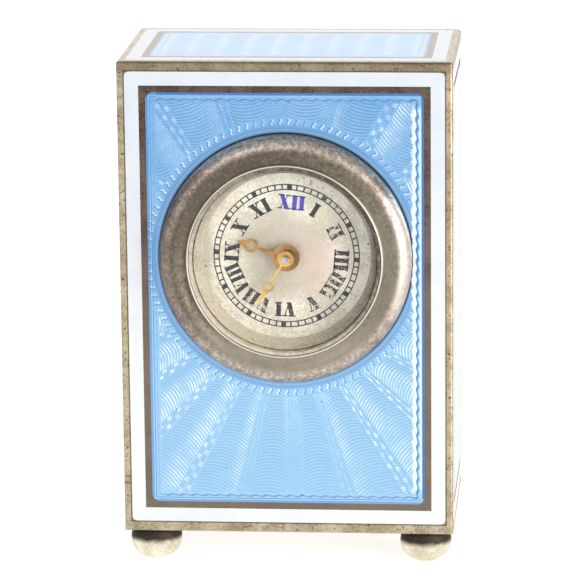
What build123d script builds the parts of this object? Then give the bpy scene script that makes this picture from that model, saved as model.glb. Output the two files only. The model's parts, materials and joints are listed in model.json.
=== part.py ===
from build123d import *
from math import asin, atan2, cos, degrees, radians, sin, sqrt
import os

# Pendulette clock: a silver and enamel case on four bun feet, with a round
# watch-type movement that is wound and set from behind a hinged door.
# Millimetres. X runs to the right of the dial, Y to the back and Z up. The
# origin is on the table, under the middle of the clock's bounding box.
# A depth is measured backwards from the flat front face of the case.

os.makedirs("parts", exist_ok=True)

# Case box
case_width = 34.0
case_height = 49.2
case_depth = 21.0
wall_thickness = 1.5
case_edge_radius = 0.3
fit_gap = 0.03
overrun_length = 2.0

# Enamelled plaques on the front, the top and both sides
plaque_thickness = 0.75
enamel_depth = 0.3
side_border_width = 0.8
end_border_width = 1.03
white_band_width = 1.43
silver_fillet_width = 0.7
white_corner_radius = 0.5
field_corner_radius = 0.8

# Bun feet
foot_height = 3.5
foot_radius = 2.66
foot_belly_height = 2.0
foot_flat_radius = 0.8
foot_neck_radius = 1.9
foot_inset_length = 2.95
foot_stud_radius = 0.6
foot_lower_bands = 3
foot_upper_bands = 2

# Lugs over the base plate, into which the feet screw
lug_size = 3.0
lug_height = 2.2
stud_reach_length = 1.6

# Rear door and its hinge
door_thickness = 1.0
door_land_width = 0.8
door_gap = 0.1
door_edge_radius = 0.25
knuckle_radius = 0.7
knuckle_rise_height = 0.35
knuckle_length = 6.7
knuckle_gap = 0.12
knuckle_side_gap = 0.12
knuckle_count = 3
hinge_pin_radius = 0.3
hinge_axis_inset_length = 0.85
thumb_lip_length = 3.2
thumb_lip_reach_length = 0.9
thumb_lip_thickness = 0.5
tongue_thickness = 0.5
tongue_width = 3.0
tongue_reach_length = 1.6
tongue_inset_length = 0.9
catch_thickness = 0.3
catch_length = 6.5
catch_width = 4.0
catch_bump_height = 0.25
catch_bump_length = 1.2
catch_door_gap = 0.6

# Bezel and glass
bezel_side_gap = 1.22
bezel_gap = 0.09
bezel_shoulder_height = 0.5
bezel_crest_height = 2.0
bezel_outer_width = 1.4
bezel_inner_width = 1.43
bezel_flange_width = 1.95
bezel_outer_bands = 3
hollow_height = 1.65
hollow_shares = ((0.35, 0.2), (0.7, 0.8), (1.0, 1.0))
lip_height = 2.0
lip_thickness = 0.24
glass_ring_width = 0.3
glass_ring_height = 1.85
glass_back_height = 0.95
glass_thickness = 1.4
glass_edge_thickness = 0.95
glass_bevel_width = 0.6
glass_ledge_width = 0.15
aperture_step_width = 1.42

# Dial and its ring
dial_from_top_height = 20.2
dial_front_depth = 1.1
dial_edge_gap = 0.3
dial_ring_edge_gap = 0.6
dial_ring_seat_width = 0.7

# Hands, as clock angles from twelve
hour_angle = 289.3
minute_angle = 211.6
hand_thickness = 0.18
hour_hand_rise_height = 0.75
hands_gap = 0.42
hour_boss_radius = 1.41
hour_hand_gap = 3.3
hour_tip_length = 1.53
hour_eye_radius = 0.72
hour_eye_bore_radius = 0.4
hour_stem_width = 0.44
minute_boss_radius = 0.8
minute_hand_gap = 2.6
minute_tip_length = 2.6
minute_eye_radius = 0.56
minute_eye_bore_radius = 0.32
minute_stem_width = 0.3
cannon_tip_height = 0.4
tip_width_share = 0.55
stem_taper_share = 0.65

# Movement plates, pillars and what holds them in the case
plate_side_gap = 1.5
motion_space_depth = 1.8
main_plate_thickness = 1.2
train_space_depth = 5.2
back_plate_thickness = 1.2
pillar_radius = 0.9
pillar_edge_gap = 1.3
pillar_angles = (75, 200, 305)
post_radius = 1.1
post_gap = 0.2
post_angles = (45, 225)
clamp_width = 2.0
clamp_thickness = 0.6
clamp_reach_length = 1.0
screw_head_radius = 0.8
screw_head_height = 0.45
screw_slot_width = 0.2
screw_slot_depth = 0.2
screw_radius = 0.33
screw_grip_length = 1.4
slot_angle = 30.0

# Wheel work: tooth proportions are shares of the module or of the pitch
wheel_addendum_share = 0.95
pinion_addendum_share = 0.75
dedendum_share = 1.2
tip_share = 0.22
root_share = 0.62
wheel_thickness = 0.4
wheel_arms = 4
rim_width = 0.45
arm_width = 0.42
hub_radius = 0.8
running_gap = 0.03
depthing_gap = 0.02
level_gap = 0.3

# Going train
barrel_teeth = 60
barrel_pitch_radius = 5.7
barrel_direction = 130.0
centre_leaves = 10
centre_teeth = 60
centre_pitch_radius = 4.05
third_direction = 258.0
third_leaves = 8
third_teeth = 56
third_pitch_radius = 3.64
fourth_direction = 2.0
fourth_leaves = 7
fourth_teeth = 60
fourth_pitch_radius = 3.6
escape_direction = 22.0
escape_leaves = 6
escape_teeth = 15
escape_radius = 2.5
escape_tooth_height = 0.5
escape_lean_share = 0.12
escape_set_share = 0.06
lever_direction = 80.0

barrel_gap = 0.35
barrel_drum_gap = 0.45
barrel_wall_thickness = 0.35
barrel_height = 2.7
barrel_tooth_height = 0.6
barrel_end_thickness = 0.4
barrel_cover_thickness = 0.3
arbor_core_radius = 1.3
barrel_arbor_radius = 0.7
arbor_square_width = 0.95
arbor_square_length = 2.3
mainspring_thickness = 0.2
mainspring_pitch = 1.0
mainspring_half_turns = 6
mainspring_end_gap = 0.15

centre_arbor_radius = 0.6
setting_arbor_radius = 0.28
train_arbor_radius = 0.22
arbor_end_gap = 0.1

# Winding work on the back plate
ratchet_teeth = 24
ratchet_radius = 3.4
ratchet_tooth_height = 0.42
ratchet_thickness = 0.6
ratchet_gap = 0.06
saw_lean_share = 0.1
click_seat_share = 0.3
click_place_radius = 5.0
click_direction = 40.0
click_tip_direction = 66.0
click_engagement_depth = 0.16
click_boss_radius = 0.75
click_thickness = 0.5
click_spring_thickness = 0.14
click_spring_height = 0.4
click_spring_foot_radius = 0.6
click_spring_foot_place_radius = 7.0
click_spring_foot_direction = 108.0
click_spring_gap = 0.08
click_spring_reach_share = 0.45
click_spring_rise_height = 0.9

# Winding key with a folding bow
key_radius = 1.3
key_gap = 0.1
key_barrel_length = 2.1
key_head_length = 1.4
key_head_width = 1.6
key_pin_radius = 0.26
key_pin_end_length = 0.75
bow_direction = 190.0
bow_thickness = 0.7
bow_width = 5.4
bow_length = 4.7
bow_ear_width = 0.8
bow_hole_radius = 1.0
bow_side_gap = 0.07
bow_notch_depth = 1.55
bow_corner_radius = 1.0

# Hand-setting knob
knob_radius = 1.7
knob_height = 1.6
knob_gap = 0.6
knob_ridges = 20
knob_ridge_depth = 0.14
knob_ridge_share = 0.5

# Motion work under the dial
minute_wheel_pitch_radius = 2.4
cannon_leaves = 10
minute_wheel_teeth = 30
minute_wheel_leaves = 8
hour_wheel_teeth = 32
motion_direction = 20.0
motion_wheel_thickness = 0.35
motion_gap = 0.2
hour_pipe_radius = 0.85
cannon_pipe_radius = 0.5
cannon_tip_radius = 0.31
minute_post_radius = 0.3

# Escapement and balance
stone_angle = 30.0
pallet_thickness = 0.3
pallet_arm_width = 0.32
pallet_stone_width = 0.28
pallet_stone_length = 0.6
pallet_hub_radius = 0.42
pallet_stone_gap = 0.02
lever_length = 2.14
fork_width = 0.9
fork_depth = 0.4
fork_notch_width = 0.34
lever_balance_length = 3.1
roller_radius = 0.72
roller_thickness = 0.22
impulse_pin_radius = 0.1
impulse_pin_place_radius = 0.9
roller_ear_radius = 0.2
pallet_bridge_half_length = 2.4
pallet_bridge_width = 0.9
pallet_bridge_thickness = 0.45
pallet_bridge_post_radius = 0.42
balance_radius = 4.2
balance_rim_width = 0.5
balance_thickness = 0.5
balance_arm_width = 0.5
balance_side_gap = 0.55
balance_staff_radius = 0.22
hairspring_thickness = 0.08
hairspring_height = 0.2
hairspring_pitch = 0.5
hairspring_half_turns = 7
hairspring_start_radius = 0.55
hairspring_gap = 0.16
cock_thickness = 0.8
cock_head_radius = 1.3
cock_foot_radius = 1.8
cock_foot_place_radius = 6.3
cock_direction = 102.0
cock_gap = 0.2
stud_width = 0.35
cap_radius = 0.62
cap_height = 0.22
index_ring_width = 0.4
index_thickness = 0.2
index_length = 3.0
index_direction = 282.0
index_end_width = 0.25
index_root_angle = 60.0

# Places that follow from the sizes above
front_stand = glass_back_height + glass_thickness
rear_stand = knuckle_rise_height + knuckle_radius
total_depth = front_stand + case_depth + rear_stand
front_y = front_stand - total_depth / 2
rear_y = front_y + case_depth
case_mid_y = (front_y + rear_y) / 2
box_bottom = foot_height
box_top = box_bottom + case_height
case_mid_z = (box_bottom + box_top) / 2
dial_z = box_top - dial_from_top_height
cavity_width = case_width - 2 * wall_thickness
cavity_depth = case_depth - wall_thickness
cavity_mid_y = rear_y - cavity_depth / 2

field_half_width = case_width / 2 - side_border_width - white_band_width - silver_fillet_width
bezel_radius = field_half_width - bezel_side_gap
bezel_crest_radius = bezel_radius - bezel_outer_width
lip_radius = bezel_crest_radius - bezel_inner_width
sleeve_radius = bezel_radius - bezel_flange_width
aperture_radius = lip_radius - aperture_step_width
hour_hand_length = aperture_radius - hour_hand_gap
hour_eye_at = hour_hand_length - hour_tip_length
minute_hand_length = aperture_radius - minute_hand_gap
minute_eye_at = minute_hand_length - minute_tip_length

plate_radius = cavity_width / 2 - plate_side_gap
pillar_place_radius = plate_radius - pillar_edge_gap
post_place_radius = plate_radius + post_radius + post_gap
dial_radius = sleeve_radius - dial_edge_gap
dial_ring_radius = plate_radius - dial_ring_edge_gap
dial_ring_bore_radius = dial_radius - dial_ring_seat_width

barrel_module = 2 * barrel_pitch_radius / barrel_teeth
barrel_drum_radius = barrel_pitch_radius - barrel_drum_gap
centre_module = 2 * centre_pitch_radius / centre_teeth
third_module = 2 * third_pitch_radius / third_teeth
fourth_module = 2 * fourth_pitch_radius / fourth_teeth
motion_module = 2 * minute_wheel_pitch_radius / minute_wheel_teeth

dial_back = wall_thickness
main_plate_front = dial_back + motion_space_depth
main_plate_back = main_plate_front + main_plate_thickness
back_plate_front = main_plate_back + train_space_depth
back_plate_back = back_plate_front + back_plate_thickness


def polar(radius, angle, centre=(0, 0)):
    """A point at a distance and an angle in degrees from a centre, as (x, z)."""
    return (
        centre[0] + radius * cos(radians(angle)),
        centre[1] + radius * sin(radians(angle)),
    )


def at_depth(depth, centre=(0, 0), angle=0):
    """A plane that faces the front, at a depth behind the front face of the case.

    Its own axes are turned anticlockwise by an angle, as seen from the front.
    """
    return Plane(
        origin=(centre[0], front_y + depth, dial_z + centre[1]),
        x_dir=(cos(radians(angle)), 0, sin(radians(angle))),
        z_dir=(0, -1, 0),
    )


def turn(outline, centre=(0, 0), mode=Mode.ADD):
    """Turn an outline of (radius, depth) points about an axis square to the dial."""
    plane = Plane(
        origin=(centre[0], front_y, dial_z + centre[1]),
        x_dir=(1, 0, 0),
        z_dir=(0, 0, 1),
    )
    with BuildSketch(plane) as profile:
        with BuildLine():
            Polyline(*outline, close=True)
        make_face()
    revolve(profile.sketch, axis=Axis(plane.origin, plane.y_dir), mode=mode)


def rod(steps, centre=(0, 0), mode=Mode.ADD):
    """A solid turned rod. Each step is (radius, front depth, back depth), in order."""
    outline = [(0, steps[0][1])]
    for radius, front, back in steps:
        outline += [(radius, front), (radius, back)]
    outline.append((0, steps[-1][2]))
    turn(outline, centre, mode)


def tube(bore, radius, front, back, centre=(0, 0), mode=Mode.ADD):
    """A turned ring or tube between two depths."""
    turn([(bore, front), (radius, front), (radius, back), (bore, back)], centre, mode)


def gear_points(teeth, module, addendum_share, phase):
    """The outline of a straight-sided gear, four points to a tooth."""
    pitch = 360 / teeth
    pitch_radius = teeth * module / 2
    tip_radius = pitch_radius + addendum_share * module
    root_radius = pitch_radius - dedendum_share * module
    points = []
    for tooth in range(teeth):
        middle = phase + tooth * pitch
        points.append(polar(root_radius, middle - root_share * pitch / 2))
        points.append(polar(tip_radius, middle - tip_share * pitch / 2))
        points.append(polar(tip_radius, middle + tip_share * pitch / 2))
        points.append(polar(root_radius, middle + root_share * pitch / 2))
    return points


def saw_points(teeth, tip_radius, tooth_height, phase, lean_share):
    """The outline of a saw-toothed wheel, two points to a tooth."""
    points = []
    for tooth in range(teeth):
        tip_angle = phase + tooth * 360 / teeth
        points.append(polar(tip_radius, tip_angle))
        points.append(polar(tip_radius - tooth_height, tip_angle + lean_share * 360 / teeth))
    return points


def mesh_phase(phase, teeth, mate_teeth, direction):
    """The phase of a gear whose gaps take the teeth of the gear that it meshes with.

    direction is the angle from the first gear's centre to the mate's centre.
    """
    return direction + 180 - (phase - direction) * teeth / mate_teeth + 180 / mate_teeth


def gear(teeth, module, addendum_share, phase, centre, back, thickness):
    """Add a plain gear whose back face is at a depth."""
    with BuildSketch(at_depth(back, centre)) as outline:
        with BuildLine():
            Polyline(*gear_points(teeth, module, addendum_share, phase), close=True)
        make_face()
    extrude(outline.sketch, amount=thickness)


def crossed_gear(teeth, module, phase, centre, back, arms):
    """Add a wheel with a toothed rim, a hub and straight arms."""
    rim_radius = teeth * module / 2 - dedendum_share * module - rim_width
    with BuildSketch(at_depth(back, centre)) as outline:
        with BuildLine():
            Polyline(*gear_points(teeth, module, wheel_addendum_share, phase), close=True)
        make_face()
        Circle(rim_radius, mode=Mode.SUBTRACT)
        Circle(hub_radius)
        with PolarLocations(rim_radius / 2, arms):
            Rectangle(rim_radius + rim_width, arm_width)
    extrude(outline.sketch, amount=wheel_thickness)


def bore(radius, front, back, centre=(0, 0)):
    """Cut a round hole between two depths."""
    rod([(radius, front, back)], centre, Mode.SUBTRACT)


def screw(seat, length, centre):
    """Add a slotted cheese-head screw that is driven from the back."""
    rod(
        [(screw_radius, seat - length, seat), (screw_head_radius, seat, seat + screw_head_height)],
        centre,
    )
    with BuildSketch(at_depth(seat + screw_head_height, centre)) as slot:
        Rectangle(2 * screw_head_radius + overrun_length, screw_slot_width, rotation=slot_angle)
    extrude(slot.sketch, amount=screw_slot_depth, mode=Mode.SUBTRACT)


def spiral(start, pitch, half_turns):
    """Half circles that open outwards by one pitch in each whole turn."""
    for half in range(half_turns):
        side = 1 if half % 2 == 0 else -1
        inner = side * (start + half * pitch / 2)
        outer = -side * (start + (half + 1) * pitch / 2)
        centre = (inner + outer) / 2
        ThreePointArc((inner, 0), (centre, side * abs(inner - outer) / 2), (outer, 0))


# Pitch circle distances and the places of the arbors, as (x, z) from the dial's centre
centre_axis = (0, 0)
barrel_axis = polar(
    (barrel_teeth + centre_leaves) * barrel_module / 2 + depthing_gap, barrel_direction
)
third_axis = polar(
    (centre_teeth + third_leaves) * centre_module / 2 + depthing_gap, third_direction
)
fourth_axis = polar(
    (third_teeth + fourth_leaves) * third_module / 2 + depthing_gap,
    fourth_direction,
    third_axis,
)
escape_axis = polar(
    (fourth_teeth + escape_leaves) * fourth_module / 2 + depthing_gap,
    escape_direction,
    fourth_axis,
)
pallet_axis = polar(escape_radius / cos(radians(stone_angle)), lever_direction, escape_axis)
balance_axis = polar(lever_balance_length, lever_direction, pallet_axis)
minute_wheel_axis = polar(
    (cannon_leaves + minute_wheel_teeth) * motion_module / 2 + depthing_gap,
    motion_direction,
)

# Tooth phases that leave every pair in mesh at rest
barrel_phase = 0.0
centre_pinion_phase = mesh_phase(barrel_phase, barrel_teeth, centre_leaves, barrel_direction + 180)
centre_phase = 0.0
third_pinion_phase = mesh_phase(centre_phase, centre_teeth, third_leaves, third_direction)
third_phase = 0.0
fourth_pinion_phase = mesh_phase(third_phase, third_teeth, fourth_leaves, fourth_direction)
fourth_phase = 0.0
escape_pinion_phase = mesh_phase(fourth_phase, fourth_teeth, escape_leaves, escape_direction)
cannon_phase = 0.0
minute_wheel_phase = mesh_phase(cannon_phase, cannon_leaves, minute_wheel_teeth, motion_direction)
minute_pinion_phase = 0.0
hour_wheel_phase = mesh_phase(
    minute_pinion_phase, minute_wheel_leaves, hour_wheel_teeth, motion_direction + 180
)

# Levels of the train, as depths
barrel_front = main_plate_back + barrel_gap
barrel_back = barrel_front + barrel_height
centre_pinion_back = barrel_back + fit_gap
centre_pinion_front = barrel_back - barrel_tooth_height - fit_gap
centre_wheel_back = barrel_back + level_gap + wheel_thickness
third_wheel_back = centre_pinion_front - level_gap
fourth_wheel_back = centre_wheel_back + level_gap + 2 * wheel_thickness
lever_front = barrel_back - barrel_tooth_height
lever_back = lever_front + pallet_thickness
escape_wheel_back = lever_back
roller_front = lever_back + fit_gap + level_gap / 2
balance_front = back_plate_front + level_gap
balance_back = balance_front + balance_thickness
hairspring_front = balance_back + hairspring_gap
hairspring_back = hairspring_front + hairspring_height
cock_front = back_plate_back + cock_gap
cock_back = cock_front + cock_thickness
ratchet_front = back_plate_back + ratchet_gap
ratchet_back = ratchet_front + ratchet_thickness
click_back = ratchet_front + click_thickness
key_front = ratchet_back + key_gap
key_shoulder = key_front + key_barrel_length
key_back = key_shoulder + key_head_length
bow_axis_depth = key_shoulder + key_head_length / 2
hour_hand_back = dial_front_depth - hour_hand_rise_height
minute_hand_back = hour_hand_back - hand_thickness - hands_gap
minute_hand_front = minute_hand_back - hand_thickness
minute_wheel_back = main_plate_front - motion_gap
minute_wheel_front = minute_wheel_back - motion_wheel_thickness
hour_wheel_front = dial_back + motion_gap
hour_wheel_back = hour_wheel_front + motion_wheel_thickness
knob_front = back_plate_back + knob_gap


# Enamelled faces of the case: the plane of each face, its width and its height
panel_faces = {
    "front": (
        Plane(origin=(0, front_y, case_mid_z), x_dir=(1, 0, 0), z_dir=(0, -1, 0)),
        case_width,
        case_height,
    ),
    "top": (
        Plane(origin=(0, case_mid_y, box_top), x_dir=(1, 0, 0), z_dir=(0, 0, 1)),
        case_width,
        case_depth,
    ),
    "left": (
        Plane(origin=(-case_width / 2, case_mid_y, case_mid_z), x_dir=(0, -1, 0), z_dir=(-1, 0, 0)),
        case_depth,
        case_height,
    ),
    "right": (
        Plane(origin=(case_width / 2, case_mid_y, case_mid_z), x_dir=(0, 1, 0), z_dir=(1, 0, 0)),
        case_depth,
        case_height,
    ),
}


def panel_outline(width, height, inset, radius, mode=Mode.ADD):
    """A rectangle inset from a case face past its silver border, with round corners."""
    RectangleRounded(
        width - 2 * side_border_width - 2 * inset,
        height - 2 * end_border_width - 2 * inset,
        radius,
        mode=mode,
    )


def band_outline(width, height, mode=Mode.ADD):
    """The sharp-cornered inner edge of the white band."""
    Rectangle(
        width - 2 * side_border_width - 2 * white_band_width,
        height - 2 * end_border_width - 2 * white_band_width,
        mode=mode,
    )


field_inset = white_band_width + silver_fillet_width

# The enamel and the plaques stop at a round opening for the bezel, on the front only
enamel_hole_radius = bezel_radius + bezel_gap
sleeve_hole_radius = sleeve_radius + fit_gap

for side, (plane, width, height) in panel_faces.items():
    with BuildPart() as plaque:
        with BuildSketch(plane.offset(-plaque_thickness)):
            panel_outline(width, height, 0, white_corner_radius)
        extrude(amount=plaque_thickness - enamel_depth)
        with BuildSketch(plane.offset(-enamel_depth)):
            band_outline(width, height)
            panel_outline(width, height, field_inset, field_corner_radius, Mode.SUBTRACT)
        extrude(amount=enamel_depth)
        if side == "front":
            bore(sleeve_hole_radius, -overrun_length, wall_thickness)
    plaque.part.label = f"{side}_plaque"
    export_step(plaque.part, f"parts/{side}_plaque.step")

    with BuildPart() as white_enamel:
        with BuildSketch(plane.offset(-enamel_depth)):
            panel_outline(width, height, 0, white_corner_radius)
            band_outline(width, height, Mode.SUBTRACT)
        extrude(amount=enamel_depth)
    white_enamel.part.label = f"{side}_white_enamel"
    export_step(white_enamel.part, f"parts/{side}_white_enamel.step")

    with BuildPart() as blue_enamel:
        with BuildSketch(plane.offset(-enamel_depth)):
            panel_outline(width, height, field_inset, field_corner_radius)
        extrude(amount=enamel_depth)
        if side == "front":
            bore(enamel_hole_radius, -overrun_length, wall_thickness)
    blue_enamel.part.label = f"{side}_blue_enamel"
    export_step(blue_enamel.part, f"parts/{side}_blue_enamel.step")


# Hinge axis of the rear door, at the right-hand edge of the case
hinge_x = case_width / 2 - hinge_axis_inset_length
hinge_y = rear_y + knuckle_rise_height
hinge_length = knuckle_count * knuckle_length + (knuckle_count - 1) * knuckle_gap
hinge_bottom = case_mid_z - hinge_length / 2


def knuckle_plane(number, shift=0):
    """The lower end of one hinge knuckle."""
    height = hinge_bottom + number * (knuckle_length + knuckle_gap) - shift
    return Plane(origin=(hinge_x, hinge_y, height))


def across(y):
    """A plane that faces the front, centred on the height of the case."""
    return Plane(origin=(0, y, case_mid_z), x_dir=(1, 0, 0), z_dir=(0, -1, 0))


def knuckles(numbers):
    """Add the named knuckles of the door hinge, before their bore is cut."""
    for number in numbers:
        with BuildSketch(knuckle_plane(number)) as section:
            Circle(knuckle_radius)
        extrude(section.sketch, amount=knuckle_length)


def knuckle_reliefs(numbers):
    """Cut room for the named knuckles, which belong to the other leaf."""
    for number in numbers:
        with BuildSketch(knuckle_plane(number, knuckle_gap)) as section:
            Circle(knuckle_radius + knuckle_side_gap)
        extrude(section.sketch, amount=knuckle_length + 2 * knuckle_gap, mode=Mode.SUBTRACT)


def hinge_bore():
    """Cut the bore for the hinge pin through a leaf's knuckles."""
    with BuildSketch(Plane(origin=(hinge_x, hinge_y, hinge_bottom - overrun_length))) as section:
        Circle(hinge_pin_radius + running_gap)
    extrude(section.sketch, amount=hinge_length + 2 * overrun_length, mode=Mode.SUBTRACT)


def door_recess():
    """Cut the rebate in which the closed door lies."""
    with BuildSketch(across(rear_y)) as opening:
        Rectangle(case_width - 2 * door_land_width, case_height - 2 * door_land_width)
    extrude(opening.sketch, amount=door_thickness, mode=Mode.SUBTRACT)


case_knuckles = range(0, knuckle_count, 2)
door_knuckles = range(1, knuckle_count, 2)

# Places of the feet, whose studs go through the base plate into the lugs
foot_places = {
    "front_left": (-case_width / 2 + foot_inset_length, front_y + foot_inset_length),
    "front_right": (case_width / 2 - foot_inset_length, front_y + foot_inset_length),
    "rear_left": (-case_width / 2 + foot_inset_length, rear_y - foot_inset_length),
    "rear_right": (case_width / 2 - foot_inset_length, rear_y - foot_inset_length),
}

with BuildPart() as case_shell:
    with BuildSketch(Plane.XY.offset(box_bottom)):
        with Locations((0, case_mid_y)):
            Rectangle(case_width, case_depth)
    extrude(amount=case_height)
    top_edges = case_shell.faces().sort_by(Axis.Z)[-1].edges()
    fillet(top_edges + case_shell.edges().filter_by(Axis.Z), case_edge_radius)
    with BuildSketch(Plane.XY.offset(box_bottom - overrun_length)):
        with Locations((0, cavity_mid_y)):
            Rectangle(cavity_width, cavity_depth)
    extrude(amount=case_height - wall_thickness + overrun_length, mode=Mode.SUBTRACT)
    with BuildSketch(across(rear_y + overrun_length)):
        with Locations((0, -wall_thickness)):
            Rectangle(cavity_width, case_height)
    extrude(amount=2 * overrun_length, mode=Mode.SUBTRACT)
    for plane, width, height in panel_faces.values():
        with BuildSketch(plane) as pocket:
            panel_outline(width, height, 0, white_corner_radius)
        extrude(pocket.sketch, amount=-plaque_thickness, mode=Mode.SUBTRACT)
    bore(sleeve_hole_radius, 0, wall_thickness + overrun_length)
    for angle in post_angles:
        rod([(post_radius, dial_back, main_plate_back)], polar(post_place_radius, angle))
        bore(
            screw_radius + running_gap,
            main_plate_back - screw_grip_length - fit_gap,
            main_plate_back,
            polar(post_place_radius, angle),
        )
    with BuildSketch(Plane.XY.offset(box_bottom + wall_thickness)) as lugs:
        with Locations(*foot_places.values()):
            Rectangle(lug_size, lug_size)
    extrude(lugs.sketch, amount=lug_height)
    with BuildSketch(Plane.XY.offset(box_bottom + wall_thickness)) as lug_holes:
        with Locations(*foot_places.values()):
            Circle(foot_stud_radius + running_gap)
    extrude(lug_holes.sketch, amount=stud_reach_length + fit_gap, mode=Mode.SUBTRACT)
    door_recess()
    knuckle_reliefs(door_knuckles)
    knuckles(case_knuckles)
    hinge_bore()
case_shell.part.label = "case_shell"
export_step(case_shell.part, "parts/case_shell.step")

with BuildPart() as base_plate:
    with BuildSketch(Plane.XY.offset(box_bottom)):
        with Locations((0, cavity_mid_y)):
            Rectangle(cavity_width - 2 * fit_gap, cavity_depth)
        with Locations(*foot_places.values()):
            Circle(foot_stud_radius + running_gap, mode=Mode.SUBTRACT)
    extrude(amount=wall_thickness)
    door_recess()
base_plate.part.label = "base_plate"
export_step(base_plate.part, "parts/base_plate.step")

# Outline of a bun foot: two elliptical quarters in bands, and the stud above them
foot_outline = [(0, 0), (foot_flat_radius, 0)]
for band in range(1, foot_lower_bands + 1):
    swing = radians(90 * band / foot_lower_bands)
    foot_outline.append(
        (
            foot_flat_radius + (foot_radius - foot_flat_radius) * sin(swing),
            foot_belly_height - foot_belly_height * cos(swing),
        )
    )
for band in range(1, foot_upper_bands + 1):
    swing = radians(90 * band / foot_upper_bands)
    foot_outline.append(
        (
            foot_neck_radius + (foot_radius - foot_neck_radius) * cos(swing),
            foot_belly_height + (foot_height - foot_belly_height) * sin(swing),
        )
    )
foot_outline.append((foot_stud_radius, foot_height))
foot_outline.append((foot_stud_radius, foot_height + wall_thickness + stud_reach_length))
foot_outline.append((0, foot_height + wall_thickness + stud_reach_length))

for name, (x, y) in foot_places.items():
    with BuildPart() as foot:
        with BuildSketch(Plane(origin=(x, y, 0), x_dir=(1, 0, 0), z_dir=(0, -1, 0))):
            with BuildLine():
                Polyline(*foot_outline, close=True)
            make_face()
        revolve(axis=Axis((x, y, 0), (0, 0, 1)))
    foot.part.label = f"{name}_foot"
    export_step(foot.part, f"parts/{name}_foot.step")

# Outline of the bezel: a domed rim in bands that sweeps down to the lip, the glass's
# rebate and the sleeve
bezel_outline = [(sleeve_radius, enamel_depth), (bezel_radius, enamel_depth)]
for band in range(bezel_outer_bands + 1):
    swing = radians(90 * band / bezel_outer_bands)
    bezel_outline.append(
        (
            bezel_crest_radius + (bezel_radius - bezel_crest_radius) * cos(swing),
            -bezel_shoulder_height - (bezel_crest_height - bezel_shoulder_height) * sin(swing),
        )
    )
for inward_share, down_share in hollow_shares:
    bezel_outline.append(
        (
            bezel_crest_radius - bezel_inner_width * inward_share,
            -bezel_crest_height + (bezel_crest_height - hollow_height) * down_share,
        )
    )
bezel_outline += [
    (lip_radius, -lip_height),
    (lip_radius - lip_thickness, -lip_height),
    (lip_radius - lip_thickness, -glass_back_height),
    (lip_radius - lip_thickness - glass_ring_width - glass_ledge_width, -glass_back_height),
    (aperture_radius, dial_front_depth - fit_gap),
    (sleeve_radius, dial_front_depth - fit_gap),
]

with BuildPart() as bezel:
    turn(bezel_outline)
bezel.part.label = "bezel"
export_step(bezel.part, "parts/bezel.step")

glass_ring_outer = lip_radius - lip_thickness - fit_gap
glass_radius = glass_ring_outer - glass_ring_width - fit_gap

with BuildPart() as glass:
    turn(
        [
            (0, -glass_back_height),
            (glass_radius, -glass_back_height),
            (glass_radius, -glass_back_height - glass_edge_thickness),
            (glass_radius - glass_bevel_width, -glass_back_height - glass_thickness),
            (0, -glass_back_height - glass_thickness),
        ]
    )
glass.part.label = "glass"
export_step(glass.part, "parts/glass.step")

with BuildPart() as glass_ring:
    tube(glass_ring_outer - glass_ring_width, glass_ring_outer, -glass_ring_height, -glass_back_height)
glass_ring.part.label = "glass_ring"
export_step(glass_ring.part, "parts/glass_ring.step")

with BuildPart() as dial:
    tube(hour_pipe_radius + bezel_gap, dial_radius, dial_front_depth, dial_back)
dial.part.label = "dial"
export_step(dial.part, "parts/dial.step")

with BuildPart() as dial_ring:
    tube(dial_ring_bore_radius, dial_ring_radius, dial_back, main_plate_front)
dial_ring.part.label = "dial_ring"
export_step(dial_ring.part, "parts/dial_ring.step")


def hand_outline(boss, hole, length, eye_at, eye_radius, eye_bore, stem_width):
    """A hand that points up: boss, tapering stem, open eye and a pointed tip."""
    Circle(boss)
    with BuildLine() as stem:
        Polyline(
            (-stem_width / 2, 0),
            (stem_width / 2, 0),
            (stem_width / 2 * stem_taper_share, eye_at),
            (-stem_width / 2 * stem_taper_share, eye_at),
            close=True,
        )
    make_face(stem.edges())
    with BuildLine() as tip:
        Polyline(
            (-eye_radius * tip_width_share, eye_at),
            (eye_radius * tip_width_share, eye_at),
            (eye_radius * tip_width_share, eye_at + eye_radius),
            (0, length),
            (-eye_radius * tip_width_share, eye_at + eye_radius),
            close=True,
        )
    make_face(tip.edges())
    with Locations((0, eye_at)):
        Circle(eye_radius)
        Circle(eye_bore, mode=Mode.SUBTRACT)
    Circle(hole, mode=Mode.SUBTRACT)


with BuildPart() as hour_hand:
    with BuildSketch(at_depth(hour_hand_back, centre_axis, -hour_angle)):
        hand_outline(
            hour_boss_radius,
            hour_pipe_radius,
            hour_hand_length,
            hour_eye_at,
            hour_eye_radius,
            hour_eye_bore_radius,
            hour_stem_width,
        )
    extrude(amount=hand_thickness)
hour_hand.part.label = "hour_hand"
export_step(hour_hand.part, "parts/hour_hand.step")

with BuildPart() as minute_hand:
    with BuildSketch(at_depth(minute_hand_back, centre_axis, -minute_angle)):
        hand_outline(
            minute_boss_radius,
            cannon_tip_radius,
            minute_hand_length,
            minute_eye_at,
            minute_eye_radius,
            minute_eye_bore_radius,
            minute_stem_width,
        )
    extrude(amount=hand_thickness)
minute_hand.part.label = "minute_hand"
export_step(minute_hand.part, "parts/minute_hand.step")

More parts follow.
